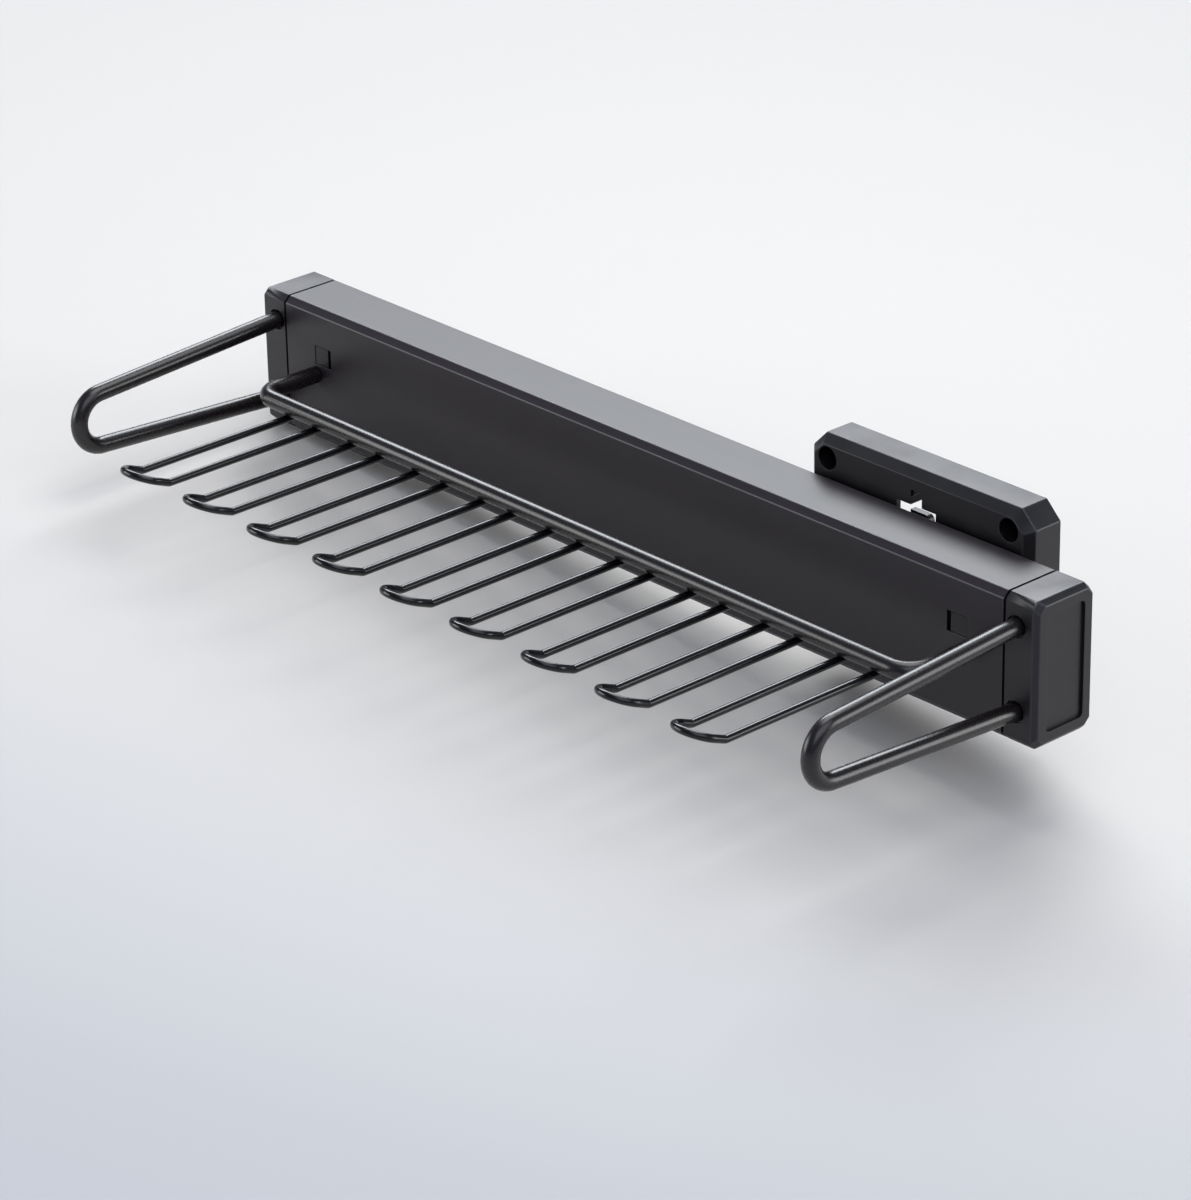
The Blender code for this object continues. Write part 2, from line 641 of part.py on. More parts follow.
def plate_solids():
    """What stays solid inside the hollow plate: bosses, hub, ribs and the sprung finger."""
    past = 2 * CUT_PAST
    front = PLATE_FRONT
    solids = finger_solids()
    for x, z in WALL_HOLES:
        solids.append(bore_mesh("hole_boss", COUNTERBORE + 2 * BOSS_WALL, x, z, front, past))
    for x, z in SCREW_PLACES:
        solids.append(bore_mesh("screw_boss", 2 * SCREW_DIAMETER + 2 * BOSS_WALL, x, z, front, past))
    solids.append(bore_mesh("hub", HUB_DIAMETER, 0.0, 0.0, front, past))
    rib = RIB_THICKNESS / 2
    across, up = SCREW_PITCH_X / 2, SCREW_PITCH_Z / 2
    for z in (-up, up):
        solids.append(box_mesh("long_rib", (-PLATE_LENGTH, front, z - rib), (PLATE_LENGTH, past, z + rib)))
    for x in (-across, across):
        solids.append(box_mesh("cross_rib", (x - rib, front, -up), (x + rib, past, up)))
    solids.append(box_mesh("hub_rib", (-across, front, -rib), (across, past, rib)))
    return solids


def build_wall_plate():
    """A hollow moulded plate, open at the back, with counterbored screw holes and a notched window."""
    block = plate_block("wall_plate", 0.0, PLATE_FRONT, 0.0, PLATE_BEVEL)
    plate = add_part("wall_plate", block, "moulded_nylon", WALL_MOUNT)
    hollow_bevel = PLATE_BEVEL - PLATE_WALL * (2 - math.sqrt(2))
    space = plate_block("hollow", PLATE_WALL, PLATE_FRONT + PLATE_WALL, CUT_PAST, hollow_bevel)
    hollow = add_cutter("hollow", space, WALL_MOUNT)
    for number, mesh in enumerate(plate_solids()):
        boolean(hollow, add_cutter(f"plate_solid_{number}", mesh, WALL_MOUNT))
    boolean(plate, hollow)

    before = PLATE_FRONT - CUT_PAST
    for x, z in WALL_HOLES:
        wide = bore_mesh("counterbore", COUNTERBORE, x, z, before, PLATE_FRONT + COUNTERBORE_DEPTH)
        boolean(plate, add_cutter("counterbore", wide, WALL_MOUNT))
        narrow = bore_mesh("wall_screw_hole", HOLE_DIAMETER, x, z, before, CUT_PAST, SMALL_ROUND_STEPS)
        boolean(plate, add_cutter("wall_screw_hole", narrow, WALL_MOUNT))
    pilot_end = carriage_screw_seat() + SCREW_LENGTH + FIT_GAP
    for x, z in SCREW_PLACES:
        pilot = bore_mesh("pilot", SCREW_DIAMETER + 2 * FIT_GAP, x, z, before, pilot_end, SMALL_ROUND_STEPS)
        boolean(plate, add_cutter("pilot", pilot, WALL_MOUNT))

    half = OPENING_WIDTH / 2
    notch = NOTCH_WIDTH / 2
    top = OPENING_TOP
    floor = OPENING_TOP - OPENING_HEIGHT
    window = [(-half, floor), (half, floor), (half, top), (notch, top), (notch, top + NOTCH_HEIGHT),
              (-notch, top), (-half, top)]
    recess_left = -notch
    recess_top = top + RECESS_RISE
    recess = [(recess_left, recess_top), (recess_left, recess_top - RECESS_HEIGHT),
              (recess_left + RECESS_WIDTH, recess_top)]
    for label, outline, depth in (("window", window, PLATE_WALL + FIT_GAP), ("recess", recess, RECESS_DEPTH)):
        carry = Matrix.Translation((0.0, PLATE_FRONT, 0.0)) @ ALONG_Y
        boolean(plate, add_cutter(label, outline_mesh(label, [outline], 2 * depth, carry), WALL_MOUNT))


def carriage_front():
    """World depth of the carriage's front face."""
    return RAIL_FRONT + FLANGE_FRONT


def carriage_screw_seat():
    """World depth of the face under the carriage screws' heads."""
    return carriage_front() + SCREW_HEAD_HEIGHT + 2 * FIT_GAP


def build_carriage():
    """A flange behind the rail's lips, on a neck that reaches back through the slot to the plate."""
    half_x = CARRIAGE_LENGTH / 2
    half_z = SLOT_HEIGHT / 2 + FLANGE_LAP
    neck_z = SLOT_HEIGHT / 2 - RUNNING_GAP
    front = carriage_front()
    back = RAIL_FRONT + FLANGE_BACK
    outline = chamfered_rectangle(-half_x, half_x, -half_z, half_z, FLANGE_LAP)
    carry = Matrix.Translation((0.0, (front + back) / 2, 0.0)) @ ALONG_Y
    flange = outline_mesh("carriage", [outline], back - front, carry)
    carriage = add_part("carriage", flange, "cast_aluminium", WALL_MOUNT)
    neck = box_mesh("neck", (FLANGE_LAP - half_x, back - FLANGE_THICKNESS / 2, -neck_z),
                    (half_x - FLANGE_LAP, PLATE_FRONT - FIT_GAP, neck_z))
    boolean(carriage, add_cutter("neck", neck, WALL_MOUNT), "UNION")
    before = front - CUT_PAST
    head_end = carriage_screw_seat() + FIT_GAP
    for x, z in SCREW_PLACES:
        head = bore_mesh("head_seat", SCREW_HEAD + 2 * FIT_GAP, x, z, before, head_end)
        boolean(carriage, add_cutter("head_seat", head, WALL_MOUNT))
        hole = bore_mesh("screw_hole", SCREW_DIAMETER + 2 * FIT_GAP, x, z, front, PLATE_FRONT + CUT_PAST,
                         SMALL_ROUND_STEPS)
        boolean(carriage, add_cutter("screw_hole", hole, WALL_MOUNT))
    axle_end = front + AXLE_SEAT + FIT_GAP
    for x, z in ROLLER_PLACES:
        seat = bore_mesh("axle_seat", AXLE_DIAMETER + 2 * FIT_GAP, x, z, before, axle_end)
        boolean(carriage, add_cutter("axle_seat", seat, WALL_MOUNT))


def headed(radius, height, base):
    """The outer points of a round head that stands on a base, from its middle to its rim."""
    return [(0.0, base + height), (HEAD_FLAT * radius, base + height), (radius, base + HEAD_RIM * height),
            (radius, base)]


def build_carriage_screws():
    shank = SCREW_DIAMETER / 2
    profile = headed(SCREW_HEAD / 2, SCREW_HEAD_HEIGHT, 0.0)
    profile += [(shank, 0.0), (shank, shank - SCREW_LENGTH), (SCREW_POINT * shank, -SCREW_LENGTH),
                (0.0, -SCREW_LENGTH)]
    for number, (x, z) in enumerate(SCREW_PLACES, 1):
        place = (x, carriage_screw_seat(), z)
        turned_part(f"carriage_screw_{number}", profile, "zinc_plated_steel", WALL_MOUNT, place, FACING,
                    SMALL_ROUND_STEPS)


def build_rollers():
    """Grooved rollers on headed axles. The grooves straddle the rail's track beads."""
    rim, bore = ROLLER_DIAMETER / 2, AXLE_DIAMETER / 2 + FIT_GAP
    edge, groove = ROLLER_WIDTH / 2, BEAD_WIDTH / 2 + FIT_GAP
    floor = rim - BEAD_HEIGHT - FIT_GAP
    roller = [(rim, edge), (rim, groove), (floor, groove), (floor, -groove), (rim, -groove), (rim, -edge),
              (bore, -edge), (bore, edge)]
    shank = AXLE_DIAMETER / 2
    front, tail = edge + FIT_GAP, -edge - FIT_GAP - AXLE_SEAT
    axle = headed(AXLE_HEAD / 2, AXLE_HEAD_HEIGHT, front) + [(shank, front), (shank, tail), (0.0, tail)]
    for number, (x, z) in enumerate(ROLLER_PLACES, 1):
        place = (x, RAIL_FRONT + TRACK_Y, z)
        turned_part(f"track_roller_{number}", roller, "acetal", WALL_MOUNT, place, FACING)
        turned_part(f"roller_axle_{number}", axle, "zinc_plated_steel", WALL_MOUNT, place, FACING,
                    SMALL_ROUND_STEPS)


def main():
    build_wall_plate()
    build_carriage()
    build_carriage_screws()
    build_rollers()
    build_rail()
    for side, word in ((-1, "left"), (1, "right")):
        build_cap(side, word)
        build_buffer(side, word)
        build_handle(side, word)
        build_bar_nut(side, word)
    build_hook_bar()
    build_hooks()
    bpy.context.view_layer.update()


main()
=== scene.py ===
"""Looks of the sliding tie rack: finished pieces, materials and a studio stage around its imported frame.

X is the pull-out direction, Y points into the wall and Z is up. Sizes are in metres unless a name says mm.
"""
import math

import bmesh
import bpy
from bpy.props import FloatProperty, FloatVectorProperty, IntProperty, PointerProperty
from mathutils import Matrix, Vector


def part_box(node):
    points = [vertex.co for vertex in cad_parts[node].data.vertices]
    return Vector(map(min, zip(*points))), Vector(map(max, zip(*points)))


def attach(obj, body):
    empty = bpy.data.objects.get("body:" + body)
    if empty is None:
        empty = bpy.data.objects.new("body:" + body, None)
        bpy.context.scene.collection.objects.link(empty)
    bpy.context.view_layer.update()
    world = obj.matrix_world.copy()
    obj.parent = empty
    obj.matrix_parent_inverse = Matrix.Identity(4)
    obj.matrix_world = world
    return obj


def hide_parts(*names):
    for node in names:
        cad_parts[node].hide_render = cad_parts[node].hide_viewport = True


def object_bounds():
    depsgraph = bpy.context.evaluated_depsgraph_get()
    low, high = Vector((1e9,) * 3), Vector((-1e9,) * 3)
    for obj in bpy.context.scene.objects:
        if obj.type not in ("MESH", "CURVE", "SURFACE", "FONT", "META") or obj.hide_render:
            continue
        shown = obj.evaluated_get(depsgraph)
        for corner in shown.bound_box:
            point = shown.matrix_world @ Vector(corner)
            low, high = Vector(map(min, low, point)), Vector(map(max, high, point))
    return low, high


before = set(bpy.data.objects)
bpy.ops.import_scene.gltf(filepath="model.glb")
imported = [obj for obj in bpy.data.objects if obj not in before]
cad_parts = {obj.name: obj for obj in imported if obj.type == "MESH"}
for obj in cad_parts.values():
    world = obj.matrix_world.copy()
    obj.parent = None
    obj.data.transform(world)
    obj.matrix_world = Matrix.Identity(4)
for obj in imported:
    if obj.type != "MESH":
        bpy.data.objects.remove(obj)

bl_info = {
    "name": "Sliding Tie Rack",
    "version": (1, 0, 0),
    "blender": (4, 5, 0),
    "location": "View3D > Sidebar > Tie Rack",
    "description": "Finishes a pull-out tie rack: coated rods, an anodised channel and moulded ends",
    "category": "Object",
}

CAD_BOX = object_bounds()
RAIL_LOW, RAIL_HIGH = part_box("rail")
RACK_MIDDLE = (RAIL_LOW.x + RAIL_HIGH.x) / 2
RACK_FRONT = RAIL_LOW.y
RACK_HALF = (RAIL_HIGH.x - RAIL_LOW.x) / 2
RAIL_TOP = RAIL_HIGH.z
RAIL_BACK = RAIL_HIGH.y
BAR_LOW, BAR_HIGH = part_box("hook_bar")
ROD_LOW, ROD_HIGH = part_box("right_handle")
HOOK_LOW, HOOK_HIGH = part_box("tie_hook_1")
NEXT_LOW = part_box("tie_hook_2")[0]
CAP_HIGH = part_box("right_end_cap")[1]
PLATE_LOW, PLATE_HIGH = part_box("wall_plate")

MM = 0.001
MERGE = 0.000001
FLAT_ANGLE = math.radians(0.5)
SHARP_ANGLE = math.radians(20)
SMOOTH_ANGLE = math.radians(38)
EDGE_STEPS = 2
# A face is slanted where its normal lies more than about 18 degrees from every axis.
SLANT_COSINE = 0.95
# The slanted faces' lower sheen is painted shade: it keeps the chamfers dark.
FLAT_SHEEN, SHADED_SLANT_SHEEN = 0.5, 0.2
ROD_SIDES, WIRE_SIDES = 32, 20

IMAGE_WIDTH, IMAGE_HEIGHT = 1191, 1200
CAMERA_PLACE = (1.3215, -1.3977, 0.8841)
CAMERA_AZIMUTH, CAMERA_ELEVATION, CAMERA_ROLL = 47.87, 25.06, -1.07
FOCAL_PIXELS = 4944.0
# Each light's name, azimuth and elevation in degrees, distance, width and height, and tint.
SOFTBOXES = (
    ("back", 226.0, 36.5, 4.0, (3.0, 1.6), "#f7fbff"),
    ("top", 180.0, 80.0, 1.05, (0.7, 0.7), "#ffffff"),
    ("side", 129.0, 11.0, 2.5, (1.4, 1.2), "#ffffff"),
    ("front", 314.0, 10.0, 2.0, (1.4, 1.1), "#ffffff"),
    ("fill", 70.0, 46.0, 2.5, (2.6, 2.0), "#ebf0fb"),
)
# The paper changes with the distance from its brightest point:
# first painted shade darkens and cools its colour, then its glow grows.
FLOOR_SIZE = 6.0
FLOOR_BRIGHTEST = (-0.45, 0.75, 0.0)
PAINTED_SHADE_REACH = (0.95, 1.55)
GLOW_REACH = (1.3, 2.3)
FAR_GLOW = 0.42


def linear(hex_colour):
    """The linear RGB of an sRGB hex colour."""
    levels = [int(hex_colour[place:place + 2], 16) / 255 for place in (1, 3, 5)]
    return tuple(v / 12.92 if v <= 0.04045 else ((v + 0.055) / 1.055) ** 2.4 for v in levels)


class TieRackSizes(bpy.types.PropertyGroup):
    """Sizes of the rods, wires and rounded edges."""

    hook_count: IntProperty(name="Hooks", description="Number of hairpin hooks along the bar",
                            default=9, min=1)
    hook_pitch: FloatProperty(name="Hook Pitch", description="Distance from one hook to the next",
                              default=NEXT_LOW.x - HOOK_LOW.x, unit="LENGTH")
    hook_wire: FloatProperty(name="Hook Wire", description="Diameter of the hook wire",
                             default=3.6 * MM, unit="LENGTH")
    hook_reach: FloatProperty(name="Hook Reach", description="Channel front to the bend of the hook's lip",
                              default=118.8 * MM, unit="LENGTH")
    hook_lip: FloatProperty(name="Hook Lip", description="Length of the turned-up round end",
                            default=15.9 * MM, unit="LENGTH")
    hook_lip_angle: FloatProperty(name="Lip Angle", description="Rise of the round end above the wires",
                                  default=math.radians(22), subtype="ANGLE")
    hook_bend: FloatProperty(name="Lip Bend", description="Bend radius at the foot of the lip",
                             default=4 * MM, unit="LENGTH")
    hook_lap: FloatProperty(name="Hook Lap", description="How far the wires run on past the bar's middle",
                            default=3.4 * MM, unit="LENGTH")
    bar_rod: FloatProperty(name="Bar Rod", description="Diameter of the hook bar",
                           default=BAR_HIGH.z - BAR_LOW.z, unit="LENGTH")
    bar_bend: FloatProperty(name="Bar Bend", description="Middle-line radius of the bar's two bends",
                            default=10 * MM, unit="LENGTH")
    handle_rod: FloatProperty(name="Handle Rod", description="Diameter of the handle rod",
                              default=ROD_HIGH.x - ROD_LOW.x, unit="LENGTH")
    handle_spread: FloatProperty(name="Handle Spread",
                                 description="Height between the legs at the channel's front",
                                 default=38.6 * MM, unit="LENGTH")
    handle_tip: FloatProperty(name="Handle Tip", description="Middle-line radius of the handle's round tip",
                              default=12.9 * MM, unit="LENGTH")
    socket_depth: FloatProperty(name="Socket Depth", description="How far the handle legs reach into a cap",
                                default=13.7 * MM, unit="LENGTH")
    rail_edge: FloatProperty(name="Channel Edge", description="Rounding of the extruded edges",
                             default=0.45 * MM, unit="LENGTH")
    moulded_edge: FloatProperty(name="Moulded Edge",
                                description="Rounding of the caps' and the plate's edges",
                                default=0.5 * MM, unit="LENGTH")
    rim_edge: FloatProperty(name="Rim Edge", description="Rounding of holes, windows and sunk panels",
                            default=0.2 * MM, unit="LENGTH")


class TieRackFinish(bpy.types.PropertyGroup):
    """Colours of the finishes."""

    channel: FloatVectorProperty(name="Channel", description="Dyed anodised aluminium", subtype="COLOR",
                                 size=3, min=0.0, max=1.0, default=linear("#170f17"))
    moulding: FloatVectorProperty(name="Moulding", description="Moulded nylon of the caps and the plate",
                                  subtype="COLOR", size=3, min=0.0, max=1.0, default=linear("#0d0d0f"))
    rod: FloatVectorProperty(name="Rod", description="Powder coat of the bar and the handles",
                             subtype="COLOR", size=3, min=0.0, max=1.0, default=linear("#151011"))
    wire: FloatVectorProperty(name="Wire", description="Powder coat of the hooks", subtype="COLOR",
                              size=3, min=0.0, max=1.0, default=linear("#08080a"))
    floor: FloatVectorProperty(name="Floor", description="Studio paper behind the rack", subtype="COLOR",
                               size=3, min=0.0, max=1.0, default=linear("#d2cfcb"))
    # Painted shade: the paper is drawn darker and cooler towards the camera.
    near_floor_shade: FloatVectorProperty(name="Near Floor", description="Studio paper towards the camera",
                                    subtype="COLOR", size=3, min=0.0, max=1.0, default=linear("#abafb6"))


class TieRackStage(bpy.types.PropertyGroup):
    """Light and floor of the studio."""

    floor_drop: FloatProperty(name="Floor Drop", description="Floor below the plate's lower edge",
                              default=0.0095, unit="LENGTH")
    floor_tilt: FloatProperty(name="Floor Tilt", description="Rise of the floor towards the rack's left end",
                              default=math.radians(4.2), subtype="ANGLE")
    back_box: FloatProperty(name="Back Softbox", description="Power of the large light behind the rack",
                            default=139.0, min=0.0, unit="POWER")
    top_box: FloatProperty(name="Top Softbox", description="Power of the small light close above",
                           default=5.6, min=0.0, unit="POWER")
    side_box: FloatProperty(name="Side Softbox", description="Power of the low light behind, on the right",
                            default=26.0, min=0.0, unit="POWER")
    front_box: FloatProperty(name="Front Softbox", description="Power of the low light in front, on the left",
                             default=21.0, min=0.0, unit="POWER")
    fill_box: FloatProperty(name="Fill Softbox", description="Power of the weak light beside the camera",
                            default=28.0, min=0.0, unit="POWER")
    room: FloatProperty(name="Room Light", description="Strength of the even light from all round",
                        default=0.28, min=0.0)


def add_node(tree, kind, inputs=None, **settings):
    """Adds a node, sets its properties and gives each input a value or a link."""
    node = tree.nodes.new(kind)
    for key, value in settings.items():
        setattr(node, key, value)
    for key, value in (inputs or {}).items():
        if isinstance(value, bpy.types.NodeSocket):
            tree.links.new(value, node.inputs[key])
        else:
            node.inputs[key].default_value = value
    return node


def new_material(name):
    """An empty node material: its tree, its shader and its object coordinates."""
    material = bpy.data.materials.new(name)
    material.use_nodes = True
    tree = material.node_tree
    tree.nodes.clear()
    shader = add_node(tree, "ShaderNodeBsdfPrincipled")
    add_node(tree, "ShaderNodeOutputMaterial", {"Surface": shader.outputs["BSDF"]})
    coordinates = add_node(tree, "ShaderNodeTexCoord").outputs["Object"]
    return material, tree, shader, coordinates


def connect(tree, shader, colour, roughness, normal):
    """Feeds the three patterned inputs of a shader."""
    tree.links.new(colour, shader.inputs["Base Color"])
    tree.links.new(roughness, shader.inputs["Roughness"])
    tree.links.new(normal, shader.inputs["Normal"])


def varied(tree, colour, pattern, swing):
    """A colour that a pattern makes lighter and darker by a share."""
    level = add_node(tree, "ShaderNodeMapRange", {
        "Value": pattern, "From Min": 0.3, "From Max": 0.7, "To Min": 1.0 - swing, "To Max": 1.0 + swing})
    body = add_node(tree, "ShaderNodeMix", {
        "Factor": 1.0, 6: (*colour, 1.0), 7: level.outputs["Result"]},
                    data_type="RGBA", blend_type="MULTIPLY")
    return body.outputs[2]


def brushed_anodised_aluminium(name, colour, sheen):
    """Extruded aluminium, brushed along its length and dyed dark: a satin skin with faint long streaks.

    Its sheen level is given: the chamfers take a lower one, which paints shade on them so that they stay
    darker.
    """
    material, tree, shader, coordinates = new_material(name)
    # Real brush lines are about 0.1 mm wide, and are drawn wider so that they show.
    streak_mm, length_mm, cloud_mm = 0.5, 60.0, 55.0
    stretched = add_node(tree, "ShaderNodeMapping", {
        "Vector": coordinates, "Scale": (1 / (length_mm * MM), 1 / (streak_mm * MM), 1 / (streak_mm * MM))})
    streaks = add_node(tree, "ShaderNodeTexNoise", {
        "Vector": stretched.outputs["Vector"], "Scale": 1.0, "Detail": 3.0, "Roughness": 0.65})
    clouds = add_node(tree, "ShaderNodeTexNoise", {
        "Vector": coordinates, "Scale": 1 / (cloud_mm * MM), "Detail": 2.0, "Roughness": 0.5})
    tint = add_node(tree, "ShaderNodeMapRange", {
        "Value": clouds.outputs["Fac"], "From Min": 0.3, "From Max": 0.7, "To Min": 0.9, "To Max": 1.1})
    shade = add_node(tree, "ShaderNodeMapRange", {
        "Value": streaks.outputs["Fac"], "From Min": 0.25, "From Max": 0.75, "To Min": 0.86, "To Max": 1.14})
    level = add_node(tree, "ShaderNodeMath", {0: tint.outputs["Result"], 1: shade.outputs["Result"]},
                     operation="MULTIPLY")
    body = add_node(tree, "ShaderNodeMix", {
        "Factor": 1.0, 6: (*colour, 1.0), 7: level.outputs["Value"]},
                    data_type="RGBA", blend_type="MULTIPLY")
    # Rounded edges are painted lighter: partly rubbed edges, partly a painted highlight along each edge.
    edge = add_node(tree, "ShaderNodeAttribute", attribute_name="edge_wear")
    worn_and_lit = add_node(tree, "ShaderNodeMix", {
        "Factor": edge.outputs["Fac"], 6: body.outputs[2], 7: (*linear("#353338"), 1.0)}, data_type="RGBA")
    gloss = add_node(tree, "ShaderNodeMapRange", {
        "Value": streaks.outputs["Fac"], "From Min": 0.25, "From Max": 0.75, "To Min": 0.38, "To Max": 0.44})
    bump = add_node(tree, "ShaderNodeBump", {
        "Strength": 0.12, "Distance": 0.02 * MM, "Height": streaks.outputs["Fac"]})
    connect(tree, shader, worn_and_lit.outputs[2], gloss.outputs["Result"], bump.outputs["Normal"])
    shader.inputs["Specular IOR Level"].default_value = sheen
    return material


def grained_nylon(name, colour, edge_wear_highlight_colour, sheen):
    """Injection-moulded nylon with a fine spark-eroded grain: satin, with soft dull patches.

    Its slanted faces take a lower sheen, which paints shade on them so that they stay darker.
    """
    material, tree, shader, coordinates = new_material(name)
    # The real grain is about 0.1 mm, and is drawn coarser so that it shows.
    grain_mm, patch_mm = 0.45, 18.0
    grain = add_node(tree, "ShaderNodeTexNoise", {
        "Vector": coordinates, "Scale": 1 / (grain_mm * MM), "Detail": 2.0, "Roughness": 0.6})
    patches = add_node(tree, "ShaderNodeTexNoise", {
        "Vector": coordinates, "Scale": 1 / (patch_mm * MM), "Detail": 3.0, "Roughness": 0.55})
    body = varied(tree, colour, patches.outputs["Fac"], 0.1)
    # Rounded edges take the lighter edge colour: partly rubbed edges, partly a painted highlight.
    edge = add_node(tree, "ShaderNodeAttribute", attribute_name="edge_wear")
    worn_and_lit = add_node(tree, "ShaderNodeMix", {
        "Factor": edge.outputs["Fac"], 6: body, 7: (*edge_wear_highlight_colour, 1.0)}, data_type="RGBA")
    gloss = add_node(tree, "ShaderNodeMapRange", {
        "Value": patches.outputs["Fac"], "From Min": 0.3, "From Max": 0.7, "To Min": 0.38, "To Max": 0.46})
    bump = add_node(tree, "ShaderNodeBump", {
        "Strength": 0.25, "Distance": 0.03 * MM, "Height": grain.outputs["Fac"]})
    connect(tree, shader, worn_and_lit.outputs[2], gloss.outputs["Result"], bump.outputs["Normal"])
    shader.inputs["Specular Tint"].default_value = (0.98, 0.95, 1.0, 1.0)
    shader.inputs["Specular IOR Level"].default_value = sheen
    return material


def powder_coat(name, colour, roughness, peel_mm, gloss_index):
    """Baked powder on steel: a thick satin skin that levels to a faint orange peel."""
    material, tree, shader, coordinates = new_material(name)
    # Real powder flecks are about 0.05 mm, and are drawn larger so that they show.
    fleck_mm = 0.35
    peel = add_node(tree, "ShaderNodeTexNoise", {
        "Vector": coordinates, "Scale": 1 / (peel_mm * MM), "Detail": 2.0, "Roughness": 0.45})
    flecks = add_node(tree, "ShaderNodeTexNoise", {
        "Vector": coordinates, "Scale": 1 / (fleck_mm * MM), "Detail": 1.0, "Roughness": 0.5})
    body = varied(tree, colour, flecks.outputs["Fac"], 0.15)
    gloss = add_node(tree, "ShaderNodeMapRange", {
        "Value": peel.outputs["Fac"], "From Min": 0.3, "From Max": 0.7,
        "To Min": roughness - 0.02, "To Max": roughness + 0.02})
    bump = add_node(tree, "ShaderNodeBump", {
        "Strength": 0.05, "Distance": 0.01 * MM, "Height": peel.outputs["Fac"]})
    connect(tree, shader, body, gloss.outputs["Result"], bump.outputs["Normal"])
    shader.inputs["IOR"].default_value = gloss_index
    return material


def bare_metal(name, colours, roughness, patch_mm, grain_mm):
    """Uncoated metal with a mottled skin: cast or plated, with fine grain and dull patches."""
    material, tree, shader, coordinates = new_material(name)
    patches = add_node(tree, "ShaderNodeTexNoise", {
        "Vector": coordinates, "Scale": 1 / (patch_mm * MM), "Detail": 4.0, "Roughness": 0.6})
    grain = add_node(tree, "ShaderNodeTexNoise", {
        "Vector": coordinates, "Scale": 1 / (grain_mm * MM), "Detail": 2.0, "Roughness": 0.6})
    body = add_node(tree, "ShaderNodeMix", {
        "Factor": patches.outputs["Fac"], 6: (*colours[0], 1.0), 7: (*colours[1], 1.0)}, data_type="RGBA")
    gloss = add_node(tree, "ShaderNodeMapRange", {
        "Value": patches.outputs["Fac"], "From Min": 0.3, "From Max": 0.7,
        "To Min": roughness - 0.07, "To Max": roughness + 0.07})
    bump = add_node(tree, "ShaderNodeBump", {
        "Strength": 0.2, "Distance": 0.03 * MM, "Height": grain.outputs["Fac"]})
    connect(tree, shader, body.outputs[2], gloss.outputs["Result"], bump.outputs["Normal"])
    shader.inputs["Metallic"].default_value = 1.0
    return material


def soft_plastic(name, colour, roughness, grain_mm):
    """A plain moulded polymer: even colour, faint grain and a slow change of sheen."""
    material, tree, shader, coordinates = new_material(name)
    grain = add_node(tree, "ShaderNodeTexNoise", {
        "Vector": coordinates, "Scale": 1 / (grain_mm * MM), "Detail": 3.0, "Roughness": 0.6})
    body = varied(tree, colour, grain.outputs["Fac"], 0.07)
    gloss = add_node(tree, "ShaderNodeMapRange", {
        "Value": grain.outputs["Fac"], "From Min": 0.3, "From Max": 0.7,
        "To Min": roughness - 0.05, "To Max": roughness + 0.05})
    bump = add_node(tree, "ShaderNodeBump", {
        "Strength": 0.15, "Distance": 0.02 * MM, "Height": grain.outputs["Fac"]})
    connect(tree, shader, body, gloss.outputs["Result"], bump.outputs["Normal"])
    return material


def finish_of(make, name, *values):
    """The material of that name, made on first use."""
    return bpy.data.materials.get(name) or make(name, *values)


def anodised():
    """The channel's finish, and a copy with less sheen that paints shade on its slanted faces."""
    colour = tuple(bpy.context.scene.tie_rack_finish.channel)
    names = ("brushed_anodised_aluminium", "anodised_aluminium_chamfer")
    return [finish_of(brushed_anodised_aluminium, name, colour, sheen)
            for name, sheen in zip(names, (FLAT_SHEEN, SHADED_SLANT_SHEEN))]


def nylon():
    """The mouldings' finish, and a copy with less sheen that paints shade on their slanted faces."""
    colour = tuple(bpy.context.scene.tie_rack_finish.moulding)
    names = ("grained_nylon", "grained_nylon_chamfer")
    # The lighter edge colour stands partly for rubbed edges, partly for a painted highlight.
    return [finish_of(grained_nylon, name, colour, linear("#26252a"), sheen)
            for name, sheen in zip(names, (FLAT_SHEEN, SHADED_SLANT_SHEEN))]


def rod_coat():
    """The coat of the bar and the handles, satin with a soft highlight."""
    colour = tuple(bpy.context.scene.tie_rack_finish.rod)
    return finish_of(powder_coat, "powder_coated_rod", colour, 0.28, 1.6, 1.54)


def wire_coat():
    """The coat of the hooks, blacker and with a thinner highlight."""
    colour = tuple(bpy.context.scene.tie_rack_finish.wire)
    return finish_of(powder_coat, "powder_coated_wire", colour, 0.20, 1.2, 1.45)


def zinc():
    """Zinc-plated steel: bright and cool, with faint clouds from the bath."""
    colours = (linear("#b9bcc1"), linear("#d3d3d0"))
    return finish_of(bare_metal, "zinc_plated_steel", colours, 0.30, 3.0, 0.3)


def cast_metal():
    """Die-cast aluminium: dull grey, with the sandy skin of the die."""
    colours = (linear("#8f9194"), linear("#b0b2b4"))
    return finish_of(bare_metal, "die_cast_aluminium", colours, 0.48, 6.0, 0.5)


def new_object(name, mesh):
    """An object of the scene that holds the mesh, lamp or lens."""
    piece = bpy.data.objects.new(name, mesh)
    bpy.context.scene.collection.objects.link(piece)
    return piece


def settled(draft, name):
    """The draft's evaluated shape as a plain mesh in a new object at the origin."""
    bpy.context.view_layer.update()
    seen = draft.evaluated_get(bpy.context.evaluated_depsgraph_get())
    mesh = bpy.data.meshes.new_from_object(seen)
    mesh.transform(draft.matrix_world)
    bpy.data.objects.remove(draft, do_unlink=True)
    mesh.name = name
    return new_object(name, mesh)


def dress(piece, body, slot, *nodes):
    """Lets a piece ride on its body, in place of the nodes that it stands for."""
    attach(piece, body)
    if nodes:
        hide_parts(*nodes)


